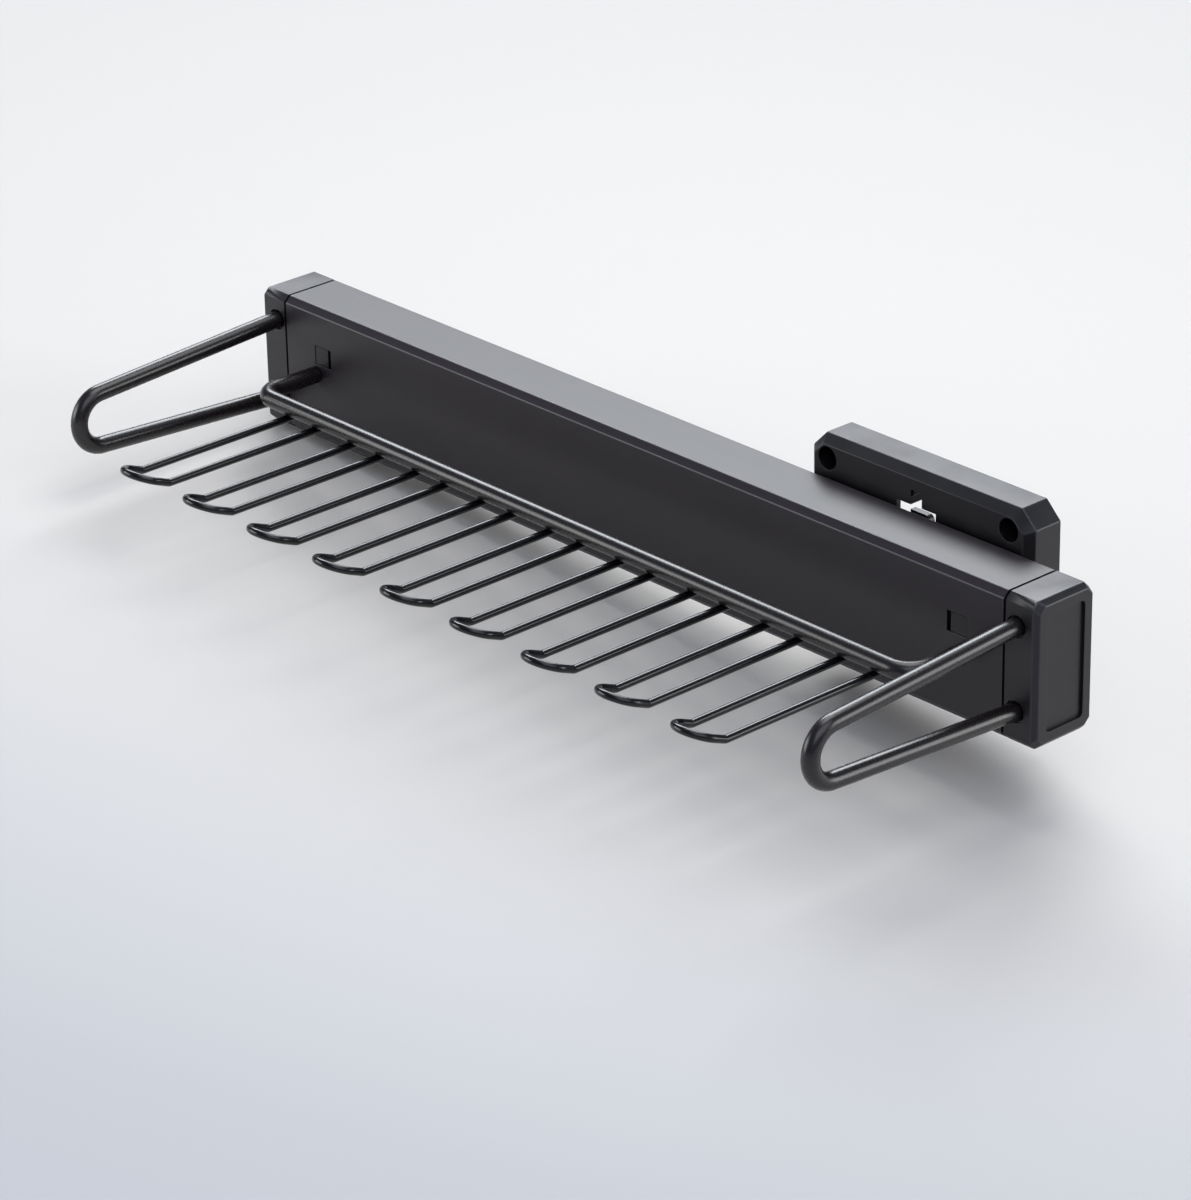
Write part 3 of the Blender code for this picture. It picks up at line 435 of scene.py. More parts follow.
def new_geometry_tree(name, sizes):
    """A geometry tree with named inputs, and its input node."""
    tree = bpy.data.node_groups.new(name, "GeometryNodeTree")
    tree.interface.new_socket("Geometry", in_out="INPUT", socket_type="NodeSocketGeometry")
    for label, kind in sizes:
        tree.interface.new_socket(label, in_out="INPUT", socket_type=kind)
    tree.interface.new_socket("Geometry", in_out="OUTPUT", socket_type="NodeSocketGeometry")
    return tree, add_node(tree, "NodeGroupInput").outputs


def add_tree(piece, tree, values):
    """Puts a geometry tree on a piece, with its inputs set by their identifiers."""
    modifier = piece.modifiers.new(tree.name, "NODES")
    modifier.node_group = tree
    for item in tree.interface.items_tree:
        if item.in_out == "INPUT" and item.name in values:
            modifier[item.identifier] = values[item.name]


def close_tree(tree, geometry, finish):
    """Ends a tree: copies become real and take their finish."""
    solid = add_node(tree, "GeometryNodeRealizeInstances", {"Geometry": geometry})
    coated = add_node(tree, "GeometryNodeSetMaterial", {
        "Geometry": solid.outputs["Geometry"], "Material": finish})
    add_node(tree, "NodeGroupOutput", {"Geometry": coated.outputs["Geometry"]})


def rod_tree():
    """Sweeps a round section along a line of edges."""
    if "swept_rod" in bpy.data.node_groups:
        return bpy.data.node_groups["swept_rod"]
    tree, given = new_geometry_tree("swept_rod", (
        ("Diameter", "NodeSocketFloat"), ("Sides", "NodeSocketInt"), ("Finish", "NodeSocketMaterial")))
    path = add_node(tree, "GeometryNodeMeshToCurve", {"Mesh": given["Geometry"]})
    radius = add_node(tree, "ShaderNodeMath", {0: given["Diameter"], 1: 0.5}, operation="MULTIPLY")
    section = add_node(tree, "GeometryNodeCurvePrimitiveCircle", {
        "Resolution": given["Sides"], "Radius": radius.outputs["Value"]})
    rod = add_node(tree, "GeometryNodeCurveToMesh", {
        "Curve": path.outputs["Curve"], "Profile Curve": section.outputs["Curve"], "Fill Caps": True})
    close_tree(tree, rod.outputs["Mesh"], given["Finish"])
    return tree


def row_tree():
    """Repeats a shape in a centred row along X."""
    if "shape_row" in bpy.data.node_groups:
        return bpy.data.node_groups["shape_row"]
    tree, given = new_geometry_tree("shape_row", (
        ("Count", "NodeSocketInt"), ("Pitch", "NodeSocketFloat"), ("Finish", "NodeSocketMaterial")))
    gaps = add_node(tree, "ShaderNodeMath", {0: given["Count"], 1: 1.0}, operation="SUBTRACT")
    run = add_node(tree, "ShaderNodeMath", {0: gaps.outputs["Value"], 1: given["Pitch"]},
                   operation="MULTIPLY")
    start = add_node(tree, "ShaderNodeMath", {0: run.outputs["Value"], 1: -0.5}, operation="MULTIPLY")
    first = add_node(tree, "ShaderNodeCombineXYZ", {"X": start.outputs["Value"]})
    step = add_node(tree, "ShaderNodeCombineXYZ", {"X": given["Pitch"]})
    line = add_node(tree, "GeometryNodeMeshLine", {
        "Count": given["Count"], "Start Location": first.outputs["Vector"], "Offset": step.outputs["Vector"]})
    copies = add_node(tree, "GeometryNodeInstanceOnPoints", {
        "Points": line.outputs["Mesh"], "Instance": given["Geometry"]})
    close_tree(tree, copies.outputs["Instances"], given["Finish"])
    return tree


def corner_tree():
    """Repeats a shape at the four corners of an upright rectangle."""
    if "shape_corners" in bpy.data.node_groups:
        return bpy.data.node_groups["shape_corners"]
    tree, given = new_geometry_tree("shape_corners", (
        ("Across", "NodeSocketFloat"), ("Up", "NodeSocketFloat"), ("Finish", "NodeSocketMaterial")))
    grid = add_node(tree, "GeometryNodeMeshGrid", {
        "Size X": given["Across"], "Size Y": given["Up"], "Vertices X": 2, "Vertices Y": 2})
    upright = add_node(tree, "GeometryNodeTransform", {
        "Geometry": grid.outputs["Mesh"], "Rotation": (math.radians(90), 0.0, 0.0)})
    copies = add_node(tree, "GeometryNodeInstanceOnPoints", {
        "Points": upright.outputs["Geometry"], "Instance": given["Geometry"]})
    close_tree(tree, copies.outputs["Instances"], given["Finish"])
    return tree


def line_mesh(name, points):
    """A line of edges through points."""
    mesh = bpy.data.meshes.new(name)
    mesh.from_pydata(points, [(i, i + 1) for i in range(len(points) - 1)], [])
    return mesh


def arc(u, v, radius, start, end, steps):
    """Points on an arc, from the start angle to the end angle in radians."""
    sweep = end - start
    angles = [start + sweep * step / steps for step in range(steps + 1)]
    return [(u + radius * math.cos(angle), v + radius * math.sin(angle)) for angle in angles]


def turned_mesh(name, profile, steps, axis=(0.0, 1.0, 0.0)):
    """A profile of (radius, height) points turned about an axis. Height runs against the axis."""
    form = bmesh.new()
    along = Vector(axis)
    out = Vector((0.0, 0.0, 1.0))
    verts = [form.verts.new(out * radius - along * height) for radius, height in profile]
    edges = [form.edges.new(pair) for pair in zip(verts, verts[1:])]
    if profile[0][0] > 0.0:
        edges.append(form.edges.new((verts[-1], verts[0])))
    bmesh.ops.spin(form, geom=verts + edges, cent=(0.0, 0.0, 0.0), axis=axis, dvec=(0.0, 0.0, 0.0),
                   angle=2 * math.pi, steps=steps, use_merge=True, use_duplicate=False)
    bmesh.ops.remove_doubles(form, verts=form.verts, dist=MERGE)
    bmesh.ops.recalc_face_normals(form, faces=form.faces)
    mesh = bpy.data.meshes.new(name)
    form.to_mesh(mesh)
    form.free()
    smooth(mesh)
    return mesh


def smooth(mesh):
    """Rounds the shading across shallow angles and keeps sharp edges."""
    mesh.shade_smooth()
    mesh.set_sharp_from_angle(angle=SMOOTH_ANGLE)


def softened(name, node, passes, finishes):
    """A copy of a node's shape with chosen sharp edges rounded.

    Its rounded faces are marked 1, to be painted lighter for rubbed edges and painted highlight.
    Its slanted faces take the last finish, which paints shade on them.
    """
    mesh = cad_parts[node].data.copy()
    mesh.name = name
    form = bmesh.new()
    form.from_mesh(mesh)
    bmesh.ops.remove_doubles(form, verts=form.verts, dist=MERGE)
    bmesh.ops.dissolve_limit(form, angle_limit=FLAT_ANGLE, verts=form.verts, edges=form.edges)
    wear_and_highlight = form.faces.layers.float.new("edge_wear")
    for width, chosen in passes:
        edges = [edge for edge in form.edges
                 if len(edge.link_faces) == 2 and edge.calc_face_angle() > SHARP_ANGLE
                 and chosen((edge.verts[0].co + edge.verts[1].co) / 2, edge)]
        made = bmesh.ops.bevel(form, geom=edges, offset=width, offset_type="OFFSET", segments=EDGE_STEPS,
                               profile=0.5, affect="EDGES", clamp_overlap=False, loop_slide=True)
        for face in made["faces"]:
            face[wear_and_highlight] = 1.0
    for face in form.faces:
        face.normal_update()
        # Slanted faces take the last finish, whose lower sheen paints shade on them.
        slanted = face[wear_and_highlight] == 0.0 and max(map(abs, face.normal)) < SLANT_COSINE
        face.material_index = len(finishes) - 1 if slanted else 0
    form.to_mesh(mesh)
    form.free()
    if "custom_normal" in mesh.attributes:
        mesh.attributes.remove(mesh.attributes["custom_normal"])
    mesh.materials.clear()
    for finish in finishes:
        mesh.materials.append(finish)
    smooth(mesh)
    draft = new_object(name + "_draft", mesh)
    even = draft.modifiers.new("even_shading", "WEIGHTED_NORMAL")
    even.keep_sharp = True
    return settled(draft, name)


def at(value, place):
    """Whether a value lies on a place, to a fiftieth of a millimetre."""
    return abs(value - place) < 0.02 * MM


def towards(azimuth, elevation):
    """The unit vector to an azimuth, counted from the front to the right, and an elevation in degrees."""
    turn, lift = math.radians(azimuth), math.radians(elevation)
    return Vector((math.sin(turn) * math.cos(lift), -math.cos(turn) * math.cos(lift), math.sin(lift)))


class TIE_RACK_OT_channel(bpy.types.Operator):
    """Rounds the channel's extruded edges and its snap windows, and gives it its brushed skin"""

    bl_idname = "tie_rack.channel"
    bl_label = "Channel"

    def execute(self, context):
        sizes = context.scene.tie_rack_sizes
        long_edge = 0.9 * 2 * RACK_HALF
        end_zone = 2 * MM

        def extruded(middle, edge):
            outer = at(middle.y, RACK_FRONT) or at(middle.y, RAIL_BACK) or at(abs(middle.z), RAIL_TOP)
            return outer and edge.calc_length() > long_edge

        def front_rim(middle, edge):
            inside = abs(middle.x - RACK_MIDDLE) < RACK_HALF - end_zone
            on_front = all(at(v.co.y, RACK_FRONT) for v in edge.verts)
            return inside and on_front and edge.calc_length() < long_edge

        passes = ((sizes.rail_edge, extruded), (sizes.rim_edge, front_rim))
        rail = softened("channel", "rail", passes, anodised())
        dress(rail, "rack", "anodised_aluminium", "rail")
        return {"FINISHED"}


class TIE_RACK_OT_end_caps(bpy.types.Operator):
    """Rounds the moulded edges of the two end caps"""

    bl_idname = "tie_rack.end_caps"
    bl_label = "End Caps"

    def execute(self, context):
        sizes = context.scene.tie_rack_sizes
        seam = RACK_HALF + 1.4 * MM
        outer_plane = CAP_HIGH.x - RACK_MIDDLE
        chamfer = 2.4 * MM
        margin = 3.5 * MM
        short = 2.5 * MM

        def in_panel(middle):
            across = RACK_FRONT + chamfer + margin < middle.y < RAIL_BACK - margin
            return across and abs(middle.z) < RAIL_TOP - chamfer - margin

        def moulded(middle, edge):
            past_seam = all(abs(v.co.x - RACK_MIDDLE) > seam for v in edge.verts)
            return past_seam and edge.calc_length() > short and not in_panel(middle)

        def panel_rim(middle, edge):
            return in_panel(middle) and all(at(abs(v.co.x - RACK_MIDDLE), outer_plane) for v in edge.verts)

        passes = ((sizes.moulded_edge, moulded), (sizes.rim_edge, panel_rim))
        for word in ("left", "right"):
            cap = softened(f"{word}_cap", f"{word}_end_cap", passes, nylon())
            dress(cap, "rack", "moulded_nylon", f"{word}_end_cap")
        return {"FINISHED"}


class TIE_RACK_OT_wall_plate(bpy.types.Operator):
    """Rounds the wall plate's moulded edges and the rims of its screw holes"""

    bl_idname = "tie_rack.wall_plate"
    bl_label = "Wall Plate"

    def execute(self, context):
        sizes = context.scene.tie_rack_sizes
        half_x = PLATE_HIGH.x
        half_z = PLATE_HIGH.z
        cut = 8 * MM
        bevel = 4 * MM
        short = 3 * MM
        recess_low, recess_half = 37.4 * MM, 3.5 * MM

        def on_outline(co, inset):
            corner = half_x + half_z - cut - inset * (2 - math.sqrt(2)) * 2
            return (at(abs(co.x), half_x - inset) or at(abs(co.z), half_z - inset)
                    or abs(co.x) + abs(co.z) > corner - inset)

        def moulded(middle, edge):
            if edge.calc_length() < short:
                return False
            for vert in edge.verts:
                front = at(vert.co.y, PLATE_LOW.y)
                in_border = abs(vert.co.x) > half_x - bevel - cut or abs(vert.co.z) > half_z - bevel - MM
                if front and not in_border:
                    return False
                if not on_outline(vert.co, bevel if front else 0.0):
                    return False
            return True

        def rim(middle, edge):
            in_recess = abs(middle.x) < recess_half and recess_low < middle.z < half_z - bevel
            flat = all(at(v.co.y, PLATE_LOW.y) for v in edge.verts)
            return flat and (in_recess or edge.calc_length() < short)

        passes = ((sizes.rim_edge, rim), (sizes.moulded_edge, moulded))
        plate = softened("plate", "wall_plate", passes, nylon())
        dress(plate, "mount", "moulded_nylon", "wall_plate")
        return {"FINISHED"}


class TIE_RACK_OT_carriage(bpy.types.Operator):
    """Rounds the cast carriage and sets its four screws"""

    bl_idname = "tie_rack.carriage"
    bl_label = "Carriage and Screws"

    def execute(self, context):
        cast_round, short = 0.4 * MM, 5 * MM

        def cast_edge(middle, edge):
            return edge.calc_length() > short

        body = softened("carriage_casting", "carriage", ((cast_round, cast_edge),), [cast_metal()])
        dress(body, "mount", "cast_aluminium", "carriage")

        low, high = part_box("carriage_screw_1")
        far_low, far_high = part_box("carriage_screw_4")
        head, shank, height = (high.x - low.x) / 2, 2.4 * MM, 2.6 * MM
        length = high.y - low.y - height
        profile = [(0.0, height), (0.45 * head, 0.97 * height)] + arc(
            0.55 * head, 0.4 * height, 0.45 * head, math.radians(62), 0.0, 6) + [(head, 0.0), (shank, 0.0)]
        profile += [(shank, shank - length), (0.5 * shank, -length), (0.0, -length)]
        draft = new_object("screw_draft", turned_mesh("screw_draft", profile, 32))
        slot_length, slot_depth, slot_width = 5.0 * MM, 2.4 * MM, 1.1 * MM
        recess = bmesh.new()
        for turn in (0.0, math.pi / 2):
            slot = Matrix.Translation((0.0, -height, 0.0)) @ Matrix.Rotation(turn, 4, "Y")
            slot = slot @ Matrix.Diagonal((slot_length, slot_depth, slot_width, 1.0))
            bmesh.ops.create_cube(recess, size=1.0, matrix=slot)
        cross = bpy.data.meshes.new("cross_recess")
        recess.to_mesh(cross)
        recess.free()
        cutter = new_object("cross_recess", cross)
        drive = draft.modifiers.new("drive", "BOOLEAN")
        drive.object = cutter
        drive.solver = "EXACT"
        drive.use_self = True
        screw = settled(draft, "screw_blank")
        bpy.data.objects.remove(cutter, do_unlink=True)
        add_tree(screw, corner_tree(), {
            "Across": far_low.x - low.x, "Up": far_low.z - low.z, "Finish": zinc()})
        seat = low.y + height
        screw.location = ((low.x + far_high.x) / 2, seat, (low.z + far_high.z) / 2)
        screws = settled(screw, "carriage_screws")
        smooth(screws.data)
        dress(screws, "mount", "zinc_plated_steel", *[f"carriage_screw_{number}" for number in range(1, 5)])
        return {"FINISHED"}


class TIE_RACK_OT_rollers(bpy.types.Operator):
    """Turns the four grooved rollers and their headed axles"""

    bl_idname = "tie_rack.rollers"
    bl_label = "Rollers and Axles"

    def execute(self, context):
        low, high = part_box("track_roller_1")
        rim, edge = (high.x - low.x) / 2, (high.y - low.y) / 2
        bore, groove, floor = 3.3 * MM, 1.8 * MM, rim - 2.3 * MM
        round_off = 0.5 * MM
        hub, web = 5.2 * MM, 0.7 * MM
        outer = rim - 1.4 * MM

        def half(sign):
            wall = [(floor, groove), (rim - 0.3 * MM, groove), (rim, groove + 0.3 * MM)]
            shoulder = arc(rim - round_off, edge - round_off, round_off, 0.0, math.pi / 2, 4)
            side = [(outer, edge), (outer - 0.4 * MM, edge - web), (hub + 0.4 * MM, edge - web), (hub, edge),
                    (bore + 0.3 * MM, edge), (bore, edge - 0.3 * MM)]
            points = wall + shoulder + side
            return [(radius, sign * height) for radius, height in points]

        profile = half(1) + half(-1)[::-1]
        acetal = finish_of(soft_plastic, "moulded_acetal", linear("#dddcd3"), 0.36, 2.5)
        for number in range(1, 5):
            low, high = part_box(f"track_roller_{number}")
            name = f"grooved_roller_{number}"
            roller = new_object(name, turned_mesh(name, profile, 48))
            roller.data.transform(Matrix.Translation((low + high) / 2))
            roller.data.materials.append(acetal)
            dress(roller, f"roller_{number}", "acetal", f"track_roller_{number}")

        low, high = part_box("roller_axle_1")
        far_low, far_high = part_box("roller_axle_4")
        head, shank, height = (high.x - low.x) / 2, 3.0 * MM, 1.5 * MM
        tail = low.y + height - high.y
        crown = arc(head - height, 0.0, height, math.pi / 2, 0.0, 6)
        bevel, dimple = 0.4 * MM, 1.0 * MM
        pin = [(0.0, height - bevel), (dimple, height)] + crown
        pin += [(shank, 0.0), (shank, tail + bevel), (shank - bevel, tail), (0.0, tail)]
        axle = new_object("axle_blank", turned_mesh("axle_blank", pin, 32))
        add_tree(axle, corner_tree(), {
            "Across": far_low.x - low.x, "Up": far_low.z - low.z, "Finish": zinc()})
        axle.location = ((low.x + far_high.x) / 2, low.y + height, (low.z + far_high.z) / 2)
        axles = settled(axle, "roller_axles")
        dress(axles, "mount", "zinc_plated_steel", *[f"roller_axle_{number}" for number in range(1, 5)])
        return {"FINISHED"}


class TIE_RACK_OT_stop_buffers(bpy.types.Operator):
    """Turns the two rubber end stops"""

    bl_idname = "tie_rack.stop_buffers"
    bl_label = "Stop Buffers"

    def execute(self, context):
        rubber = finish_of(soft_plastic, "moulded_rubber", linear("#222223"), 0.78, 0.8)
        radius, spigot, spigot_length, dome = 6 * MM, 2.5 * MM, 5 * MM, 3 * MM
        for side, word in ((-1.0, "left"), (1.0, "right")):
            low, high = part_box(f"{word}_stop_buffer")
            length = high.x - low.x - spigot_length
            nose = [(radius * math.sin(a), length - dome * (1 - math.cos(a)))
                    for a in (math.pi / 2 * step / 8 for step in range(9))]
            neck = radius - 0.5 * MM
            waist = [(radius, 0.62 * length), (neck, 0.55 * length), (neck, 0.45 * length),
                     (radius, 0.38 * length), (radius, 0.3 * MM), (radius - 0.3 * MM, 0.0)]
            stem = [(spigot, 0.0), (spigot, 0.4 * MM - spigot_length), (spigot - 0.4 * MM, -spigot_length),
                    (0.0, -spigot_length)]
            form = turned_mesh(f"{word}_buffer", nose + waist + stem, 40, (side, 0.0, 0.0))
            buffer = new_object(f"{word}_buffer", form)
            seat = high.x - spigot_length if side > 0 else low.x + spigot_length
            buffer.data.transform(Matrix.Translation((seat, (low.y + high.y) / 2, (low.z + high.z) / 2)))
            buffer.data.materials.append(rubber)
            dress(buffer, "rack", "rubber", f"{word}_stop_buffer")
        return {"FINISHED"}


class TIE_RACK_OT_handles(bpy.types.Operator):
    """Bends the two rod handles"""

    bl_idname = "tie_rack.handles"
    bl_label = "Handles"

    def execute(self, context):
        sizes = context.scene.tie_rack_sizes
        reach = RACK_FRONT - ROD_LOW.y
        rise = (ROD_LOW.z + ROD_HIGH.z) / 2
        half = sizes.handle_spread / 2
        tip_middle = -(reach - sizes.handle_rod / 2 - sizes.handle_tip)
        taper = math.atan2(half, -tip_middle) - math.asin(sizes.handle_tip / math.hypot(tip_middle, half))
        leg_end = half + sizes.socket_depth * math.tan(taper)
        tip = arc(tip_middle, 0.0, sizes.handle_tip, math.pi / 2 + taper, 3 * math.pi / 2 - taper, 36)
        path = [(sizes.socket_depth, leg_end)] + tip + [(sizes.socket_depth, -leg_end)]
        for word in ("left", "right"):
            low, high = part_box(f"{word}_handle")
            x = (low.x + high.x) / 2
            points = [(x, RACK_FRONT + y, rise + z) for y, z in path]
            draft = new_object("handle_draft", line_mesh("handle_draft", points))
            add_tree(draft, rod_tree(), {
                "Diameter": sizes.handle_rod, "Sides": ROD_SIDES, "Finish": rod_coat()})
            handle = settled(draft, f"{word}_pull")
            smooth(handle.data)
            dress(handle, "rack", "coated_rod", f"{word}_handle")
        return {"FINISHED"}


class TIE_RACK_OT_hook_bar(bpy.types.Operator):
    """Bends the hook bar, with its studs and nuts inside the channel"""

    bl_idname = "tie_rack.hook_bar"
    bl_label = "Hook Bar"

    def execute(self, context):
        sizes = context.scene.tie_rack_sizes
        half = (BAR_HIGH.x - BAR_LOW.x - sizes.bar_rod) / 2
        rise = (BAR_LOW.z + BAR_HIGH.z) / 2
        front = BAR_LOW.y + sizes.bar_rod / 2
        bend = sizes.bar_bend
        left = arc(bend - half, front + bend, bend, math.pi, 3 * math.pi / 2, 16)
        right = arc(half - bend, front + bend, bend, -math.pi / 2, 0.0, 16)
        shoulder = RACK_FRONT - 0.3 * MM
        path = [(-half, shoulder)] + left + right + [(half, shoulder)]
        points = [(RACK_MIDDLE + x, y, rise) for x, y in path]
        draft = new_object("bar_draft", line_mesh("bar_draft", points))
        add_tree(draft, rod_tree(), {"Diameter": sizes.bar_rod, "Sides": ROD_SIDES, "Finish": rod_coat()})
        bar = settled(draft, "bent_bar")
        smooth(bar.data)
        dress(bar, "rack", "coated_rod", "hook_bar")

        stud, thread, pitch, bevel = 2.0 * MM, 0.24 * MM, 0.7 * MM, 0.4 * MM
        length = BAR_HIGH.y - shoulder
        profile = [(0.0, -length), (stud - bevel, -length)]
        turns = int((length - 2 * bevel) / pitch)
        for turn in range(turns):
            top = -length + bevel + turn * pitch
            profile += [(stud, top), (stud - thread, top + pitch / 2)]
        profile += [(stud, 0.0), (0.0, 0.0)]
        blank = new_object("stud_blank", turned_mesh("stud_blank", profile, 24))
        blank.location = (RACK_MIDDLE, shoulder, rise)
        add_tree(blank, row_tree(), {"Count": 2, "Pitch": 2 * half, "Finish": zinc()})
        studs = settled(blank, "bar_studs")
        dress(studs, "rack", "zinc_plated_steel")

        nut_round, short = 0.25 * MM, 1.5 * MM

        def corner(middle, edge):
            return edge.calc_length() > short

        for word in ("left", "right"):
            nut = softened(f"{word}_hex_nut", f"{word}_bar_nut", ((nut_round, corner),), [zinc()])
            dress(nut, "rack", "zinc_plated_steel", f"{word}_bar_nut")
        return {"FINISHED"}


class TIE_RACK_OT_hooks(bpy.types.Operator):
    """Bends the wire hairpins, repeats them along the bar and welds them under it"""

    bl_idname = "tie_rack.hooks"
    bl_label = "Hooks"

    def execute(self, context):
        sizes = context.scene.tie_rack_sizes
        half = (HOOK_HIGH.x - HOOK_LOW.x - sizes.hook_wire) / 2
        height = HOOK_LOW.z + sizes.hook_wire / 2
        bar_front = BAR_LOW.y + sizes.bar_rod / 2
        start = bar_front + sizes.hook_lap
        rise, run = math.sin(sizes.hook_lip_angle), math.cos(sizes.hook_lip_angle)
        foot = RACK_FRONT - sizes.hook_reach
        tangent = sizes.hook_bend * math.tan(sizes.hook_lip_angle / 2)

        def bend(x):
            points = []
            for step in range(9):
                angle = sizes.hook_lip_angle * step / 8
                points.append((x, foot + tangent - sizes.hook_bend * math.sin(angle),
                               height + sizes.hook_bend * (1 - math.cos(angle))))
            return points

        loop = arc(0.0, sizes.hook_lip - half, half, math.pi, 0.0, 40)
        round_end = [(x, foot - d * run, height + d * rise) for x, d in loop]
        points = [(-half, start, height)] + bend(-half) + round_end
        points += bend(half)[::-1] + [(half, start, height)]
        draft = new_object("hook_draft", line_mesh("hook_draft", points))
        add_tree(draft, rod_tree(), {
            "Diameter": sizes.hook_wire, "Sides": WIRE_SIDES, "Finish": wire_coat()})
        row = {"Count": sizes.hook_count, "Pitch": sizes.hook_pitch, "Finish": wire_coat()}
        add_tree(draft, row_tree(), row)
        draft.location.x = RACK_MIDDLE
        hooks = settled(draft, "hairpin_hooks")
        smooth(hooks.data)
        nodes = [f"tie_hook_{number + 1}" for number in range(sizes.hook_count)]
        dress(hooks, "rack", "coated_wire", *nodes)

        seam = height + sizes.hook_wire / 2
        weld_y = bar_front + 1.2 * MM
        bead_across, bead_along, bead_up = 2.0 * MM, 1.5 * MM, 0.7 * MM
        form = bmesh.new()
        for side in (-half, half):
            bead = bmesh.ops.create_icosphere(form, subdivisions=3, radius=1.0)["verts"]
            for vert in bead:
                swell = 1.0 + 0.10 * math.cos(4 * math.atan2(vert.co.y, vert.co.x))
                vert.co = (side + bead_across * swell * vert.co.x, weld_y + bead_along * swell * vert.co.y,
                           seam + bead_up * vert.co.z)
        mesh = bpy.data.meshes.new("bead_blank")
        form.to_mesh(mesh)
        form.free()
        smooth(mesh)
        blank = new_object("bead_blank", mesh)
        blank.location.x = RACK_MIDDLE
        add_tree(blank, row_tree(), row)
        beads = settled(blank, "weld_beads")
        dress(beads, "rack", "coated_wire")
        return {"FINISHED"}


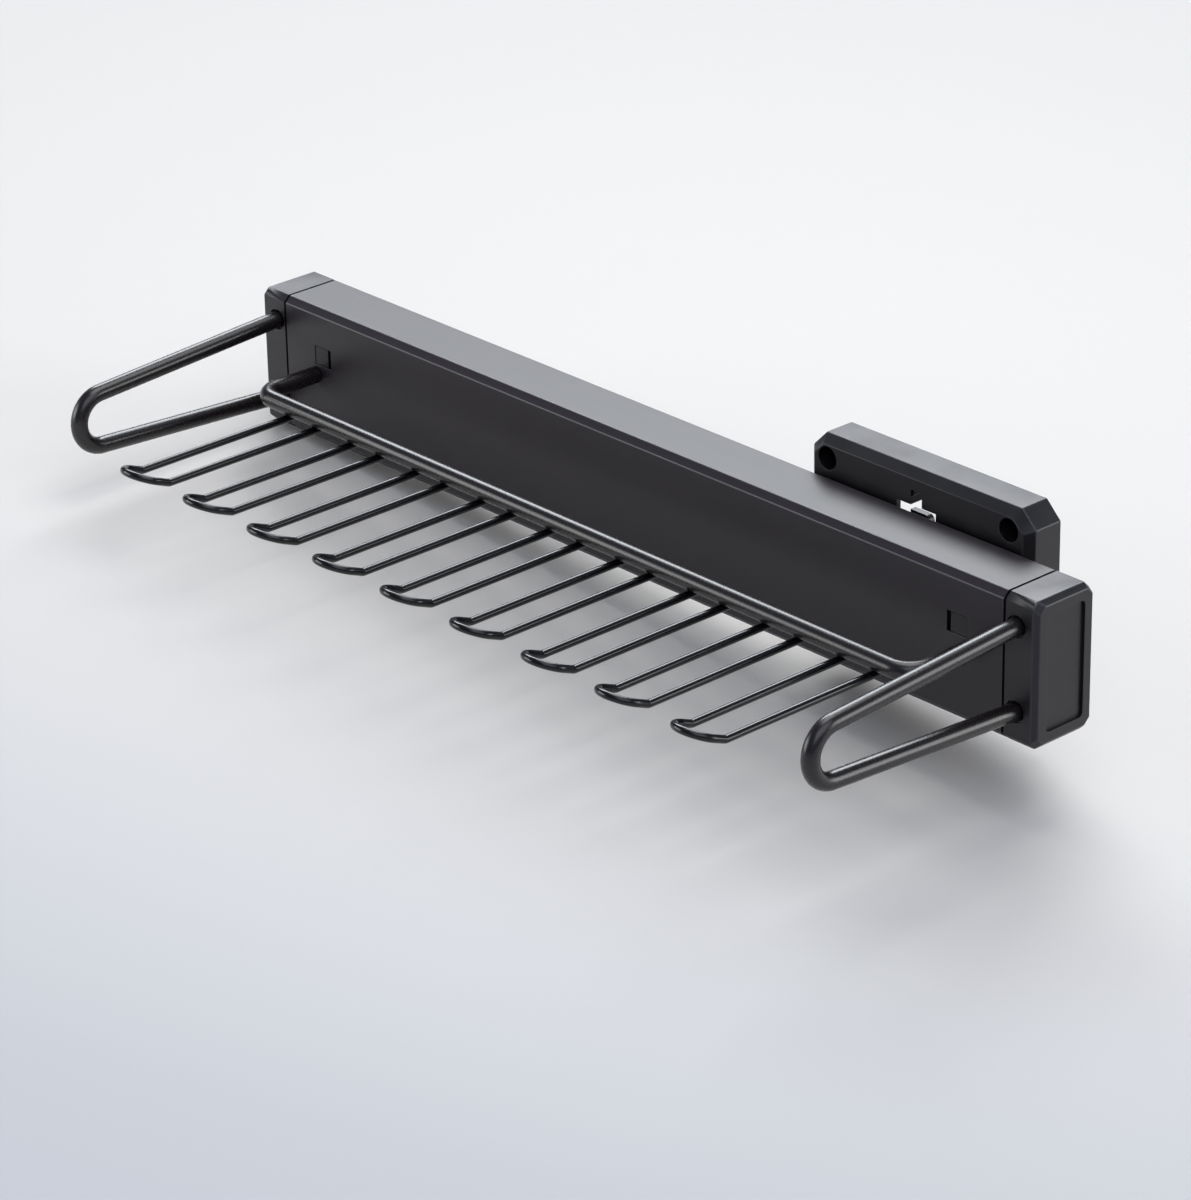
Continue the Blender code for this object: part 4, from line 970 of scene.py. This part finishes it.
class TIE_RACK_OT_stage(bpy.types.Operator):
    """Lays the studio floor, hangs the softboxes and sets up the camera"""

    bl_idname = "tie_rack.stage"
    bl_label = "Studio"

    def execute(self, context):
        scene = context.scene
        settings = scene.tie_rack_stage
        scene.view_settings.view_transform = "Standard"
        self.lay_floor(scene, settings)
        middle = Vector((RACK_MIDDLE, RACK_FRONT, 0.0))
        for name, azimuth, elevation, distance, size, tint in SOFTBOXES:
            back = towards(azimuth, elevation)
            lamp = bpy.data.lights.new(f"{name}_softbox", "AREA")
            lamp.shape = "RECTANGLE"
            lamp.size, lamp.size_y = size
            lamp.energy = getattr(settings, f"{name}_box")
            lamp.color = linear(tint)
            holder = new_object(f"{name}_softbox", lamp)
            holder.location = middle + back * distance
            holder.rotation_euler = (-back).to_track_quat("-Z", "Y").to_euler()
        world = bpy.data.worlds.new("studio_room")
        scene.world = world
        world.use_nodes = True
        room = world.node_tree.nodes["Background"]
        room.inputs["Color"].default_value = (*linear("#cbd9f2"), 1.0)
        room.inputs["Strength"].default_value = settings.room
        self.set_camera(scene)
        return {"FINISHED"}

    def lay_floor(self, scene, settings):
        """Pale paper a little below the plate, which rises towards the rack's left end.

        It is neutral behind the rack; in front it is painted darker and cooler, as shade.
        Far off, a glow that lights nothing keeps it pale.
        """
        form = bmesh.new()
        foot = Matrix.Translation((PLATE_LOW.x, 0.0, CAD_BOX[0].z - settings.floor_drop))
        bmesh.ops.create_grid(form, x_segments=4, y_segments=4, size=FLOOR_SIZE,
                              matrix=foot @ Matrix.Rotation(settings.floor_tilt, 4, "Y"))
        mesh = bpy.data.meshes.new("studio_floor")
        form.to_mesh(mesh)
        form.free()
        material, tree, shader, coordinates = new_material("studio_paper")
        # Painted shade: the paper's colour turns darker and cooler away from its brightest point.
        painted_shade = self.fade(tree, coordinates, PAINTED_SHADE_REACH, 1.0)
        finish = scene.tie_rack_finish
        paper = add_node(tree, "ShaderNodeMix", {
            "Factor": painted_shade, 6: (*finish.floor, 1.0), 7: (*finish.near_floor_shade, 1.0)}, data_type="RGBA")
        glow = self.fade(tree, coordinates, GLOW_REACH, FAR_GLOW)
        rays = add_node(tree, "ShaderNodeLightPath").outputs
        direct = add_node(tree, "ShaderNodeMath", {0: rays["Is Camera Ray"], 1: rays["Is Glossy Ray"]},
                          operation="ADD")
        seen = add_node(tree, "ShaderNodeMath", {0: direct.outputs["Value"], 1: rays["Is Transmission Ray"]},
                        operation="ADD")
        shown = add_node(tree, "ShaderNodeMath", {0: glow, 1: seen.outputs["Value"]}, operation="MULTIPLY")
        tree.links.new(paper.outputs[2], shader.inputs["Base Color"])
        tree.links.new(shown.outputs["Value"], shader.inputs["Emission Strength"])
        shader.inputs["Roughness"].default_value = 0.9
        shader.inputs["Specular IOR Level"].default_value = 0.1
        mesh.materials.append(material)
        floor = new_object("studio_floor", mesh)

    def fade(self, tree, coordinates, reach, level):
        """A value that grows evenly to the level with the distance from the floor's brightest point."""
        away = add_node(tree, "ShaderNodeVectorMath", {0: coordinates, 1: FLOOR_BRIGHTEST},
                        operation="DISTANCE")
        value = add_node(tree, "ShaderNodeMapRange", {
            "Value": away.outputs["Value"], "From Min": reach[0], "From Max": reach[1],
            "To Min": 0.0, "To Max": level})
        return value.outputs["Result"]

    def set_camera(self, scene):
        """A long lens in front of the rack's right end, a little above it."""
        azimuth, roll = math.radians(CAMERA_AZIMUTH), math.radians(CAMERA_ROLL)
        back = towards(CAMERA_AZIMUTH, CAMERA_ELEVATION)
        right = Vector((math.cos(azimuth), math.sin(azimuth), 0.0))
        up = back.cross(right)
        across = math.cos(roll) * right + math.sin(roll) * up
        upward = math.cos(roll) * up - math.sin(roll) * right
        lens = bpy.data.cameras.new("studio_camera")
        lens.sensor_width = 36.0
        lens.lens = FOCAL_PIXELS / max(IMAGE_WIDTH, IMAGE_HEIGHT) * lens.sensor_width
        camera = new_object("studio_camera", lens)
        place = Matrix((across, upward, back)).transposed().to_4x4()
        place.translation = Vector(CAMERA_PLACE)
        camera.matrix_world = place
        scene.camera = camera


class TIE_RACK_PT_panel(bpy.types.Panel):
    """The tie rack's sizes, finishes and building steps"""

    bl_idname = "TIE_RACK_PT_panel"
    bl_label = "Tie Rack"
    bl_space_type = "VIEW_3D"
    bl_region_type = "UI"
    bl_category = "Tie Rack"

    def draw(self, context):
        for group in GROUPS:
            holder = getattr(context.scene, group)
            box = self.layout.box()
            for name in holder.__annotations__:
                box.prop(holder, name)
        for step in OPERATORS:
            self.layout.operator(step.bl_idname)


GROUPS = {"tie_rack_sizes": TieRackSizes, "tie_rack_finish": TieRackFinish, "tie_rack_stage": TieRackStage}
OPERATORS = (TIE_RACK_OT_stage, TIE_RACK_OT_channel, TIE_RACK_OT_end_caps, TIE_RACK_OT_wall_plate,
             TIE_RACK_OT_carriage, TIE_RACK_OT_rollers, TIE_RACK_OT_stop_buffers, TIE_RACK_OT_handles,
             TIE_RACK_OT_hook_bar, TIE_RACK_OT_hooks)


def register():
    """Adds the settings, the operators and the panel."""
    for kind in (*GROUPS.values(), *OPERATORS, TIE_RACK_PT_panel):
        bpy.utils.register_class(kind)
    for name, kind in GROUPS.items():
        setattr(bpy.types.Scene, name, PointerProperty(type=kind))


def unregister():
    """Takes them away again."""
    for name in GROUPS:
        delattr(bpy.types.Scene, name)
    for kind in (TIE_RACK_PT_panel, *reversed(OPERATORS), *reversed(GROUPS.values())):
        bpy.utils.unregister_class(kind)


def main():
    """Builds the stage and every piece."""
    register()
    bpy.ops.tie_rack.stage()
    bpy.ops.tie_rack.channel()
    bpy.ops.tie_rack.end_caps()
    bpy.ops.tie_rack.wall_plate()
    bpy.ops.tie_rack.carriage()
    bpy.ops.tie_rack.rollers()
    bpy.ops.tie_rack.stop_buffers()
    bpy.ops.tie_rack.handles()
    bpy.ops.tie_rack.hook_bar()
    bpy.ops.tie_rack.hooks()
    bpy.context.view_layer.update()


if __name__ == "__main__":
    main()
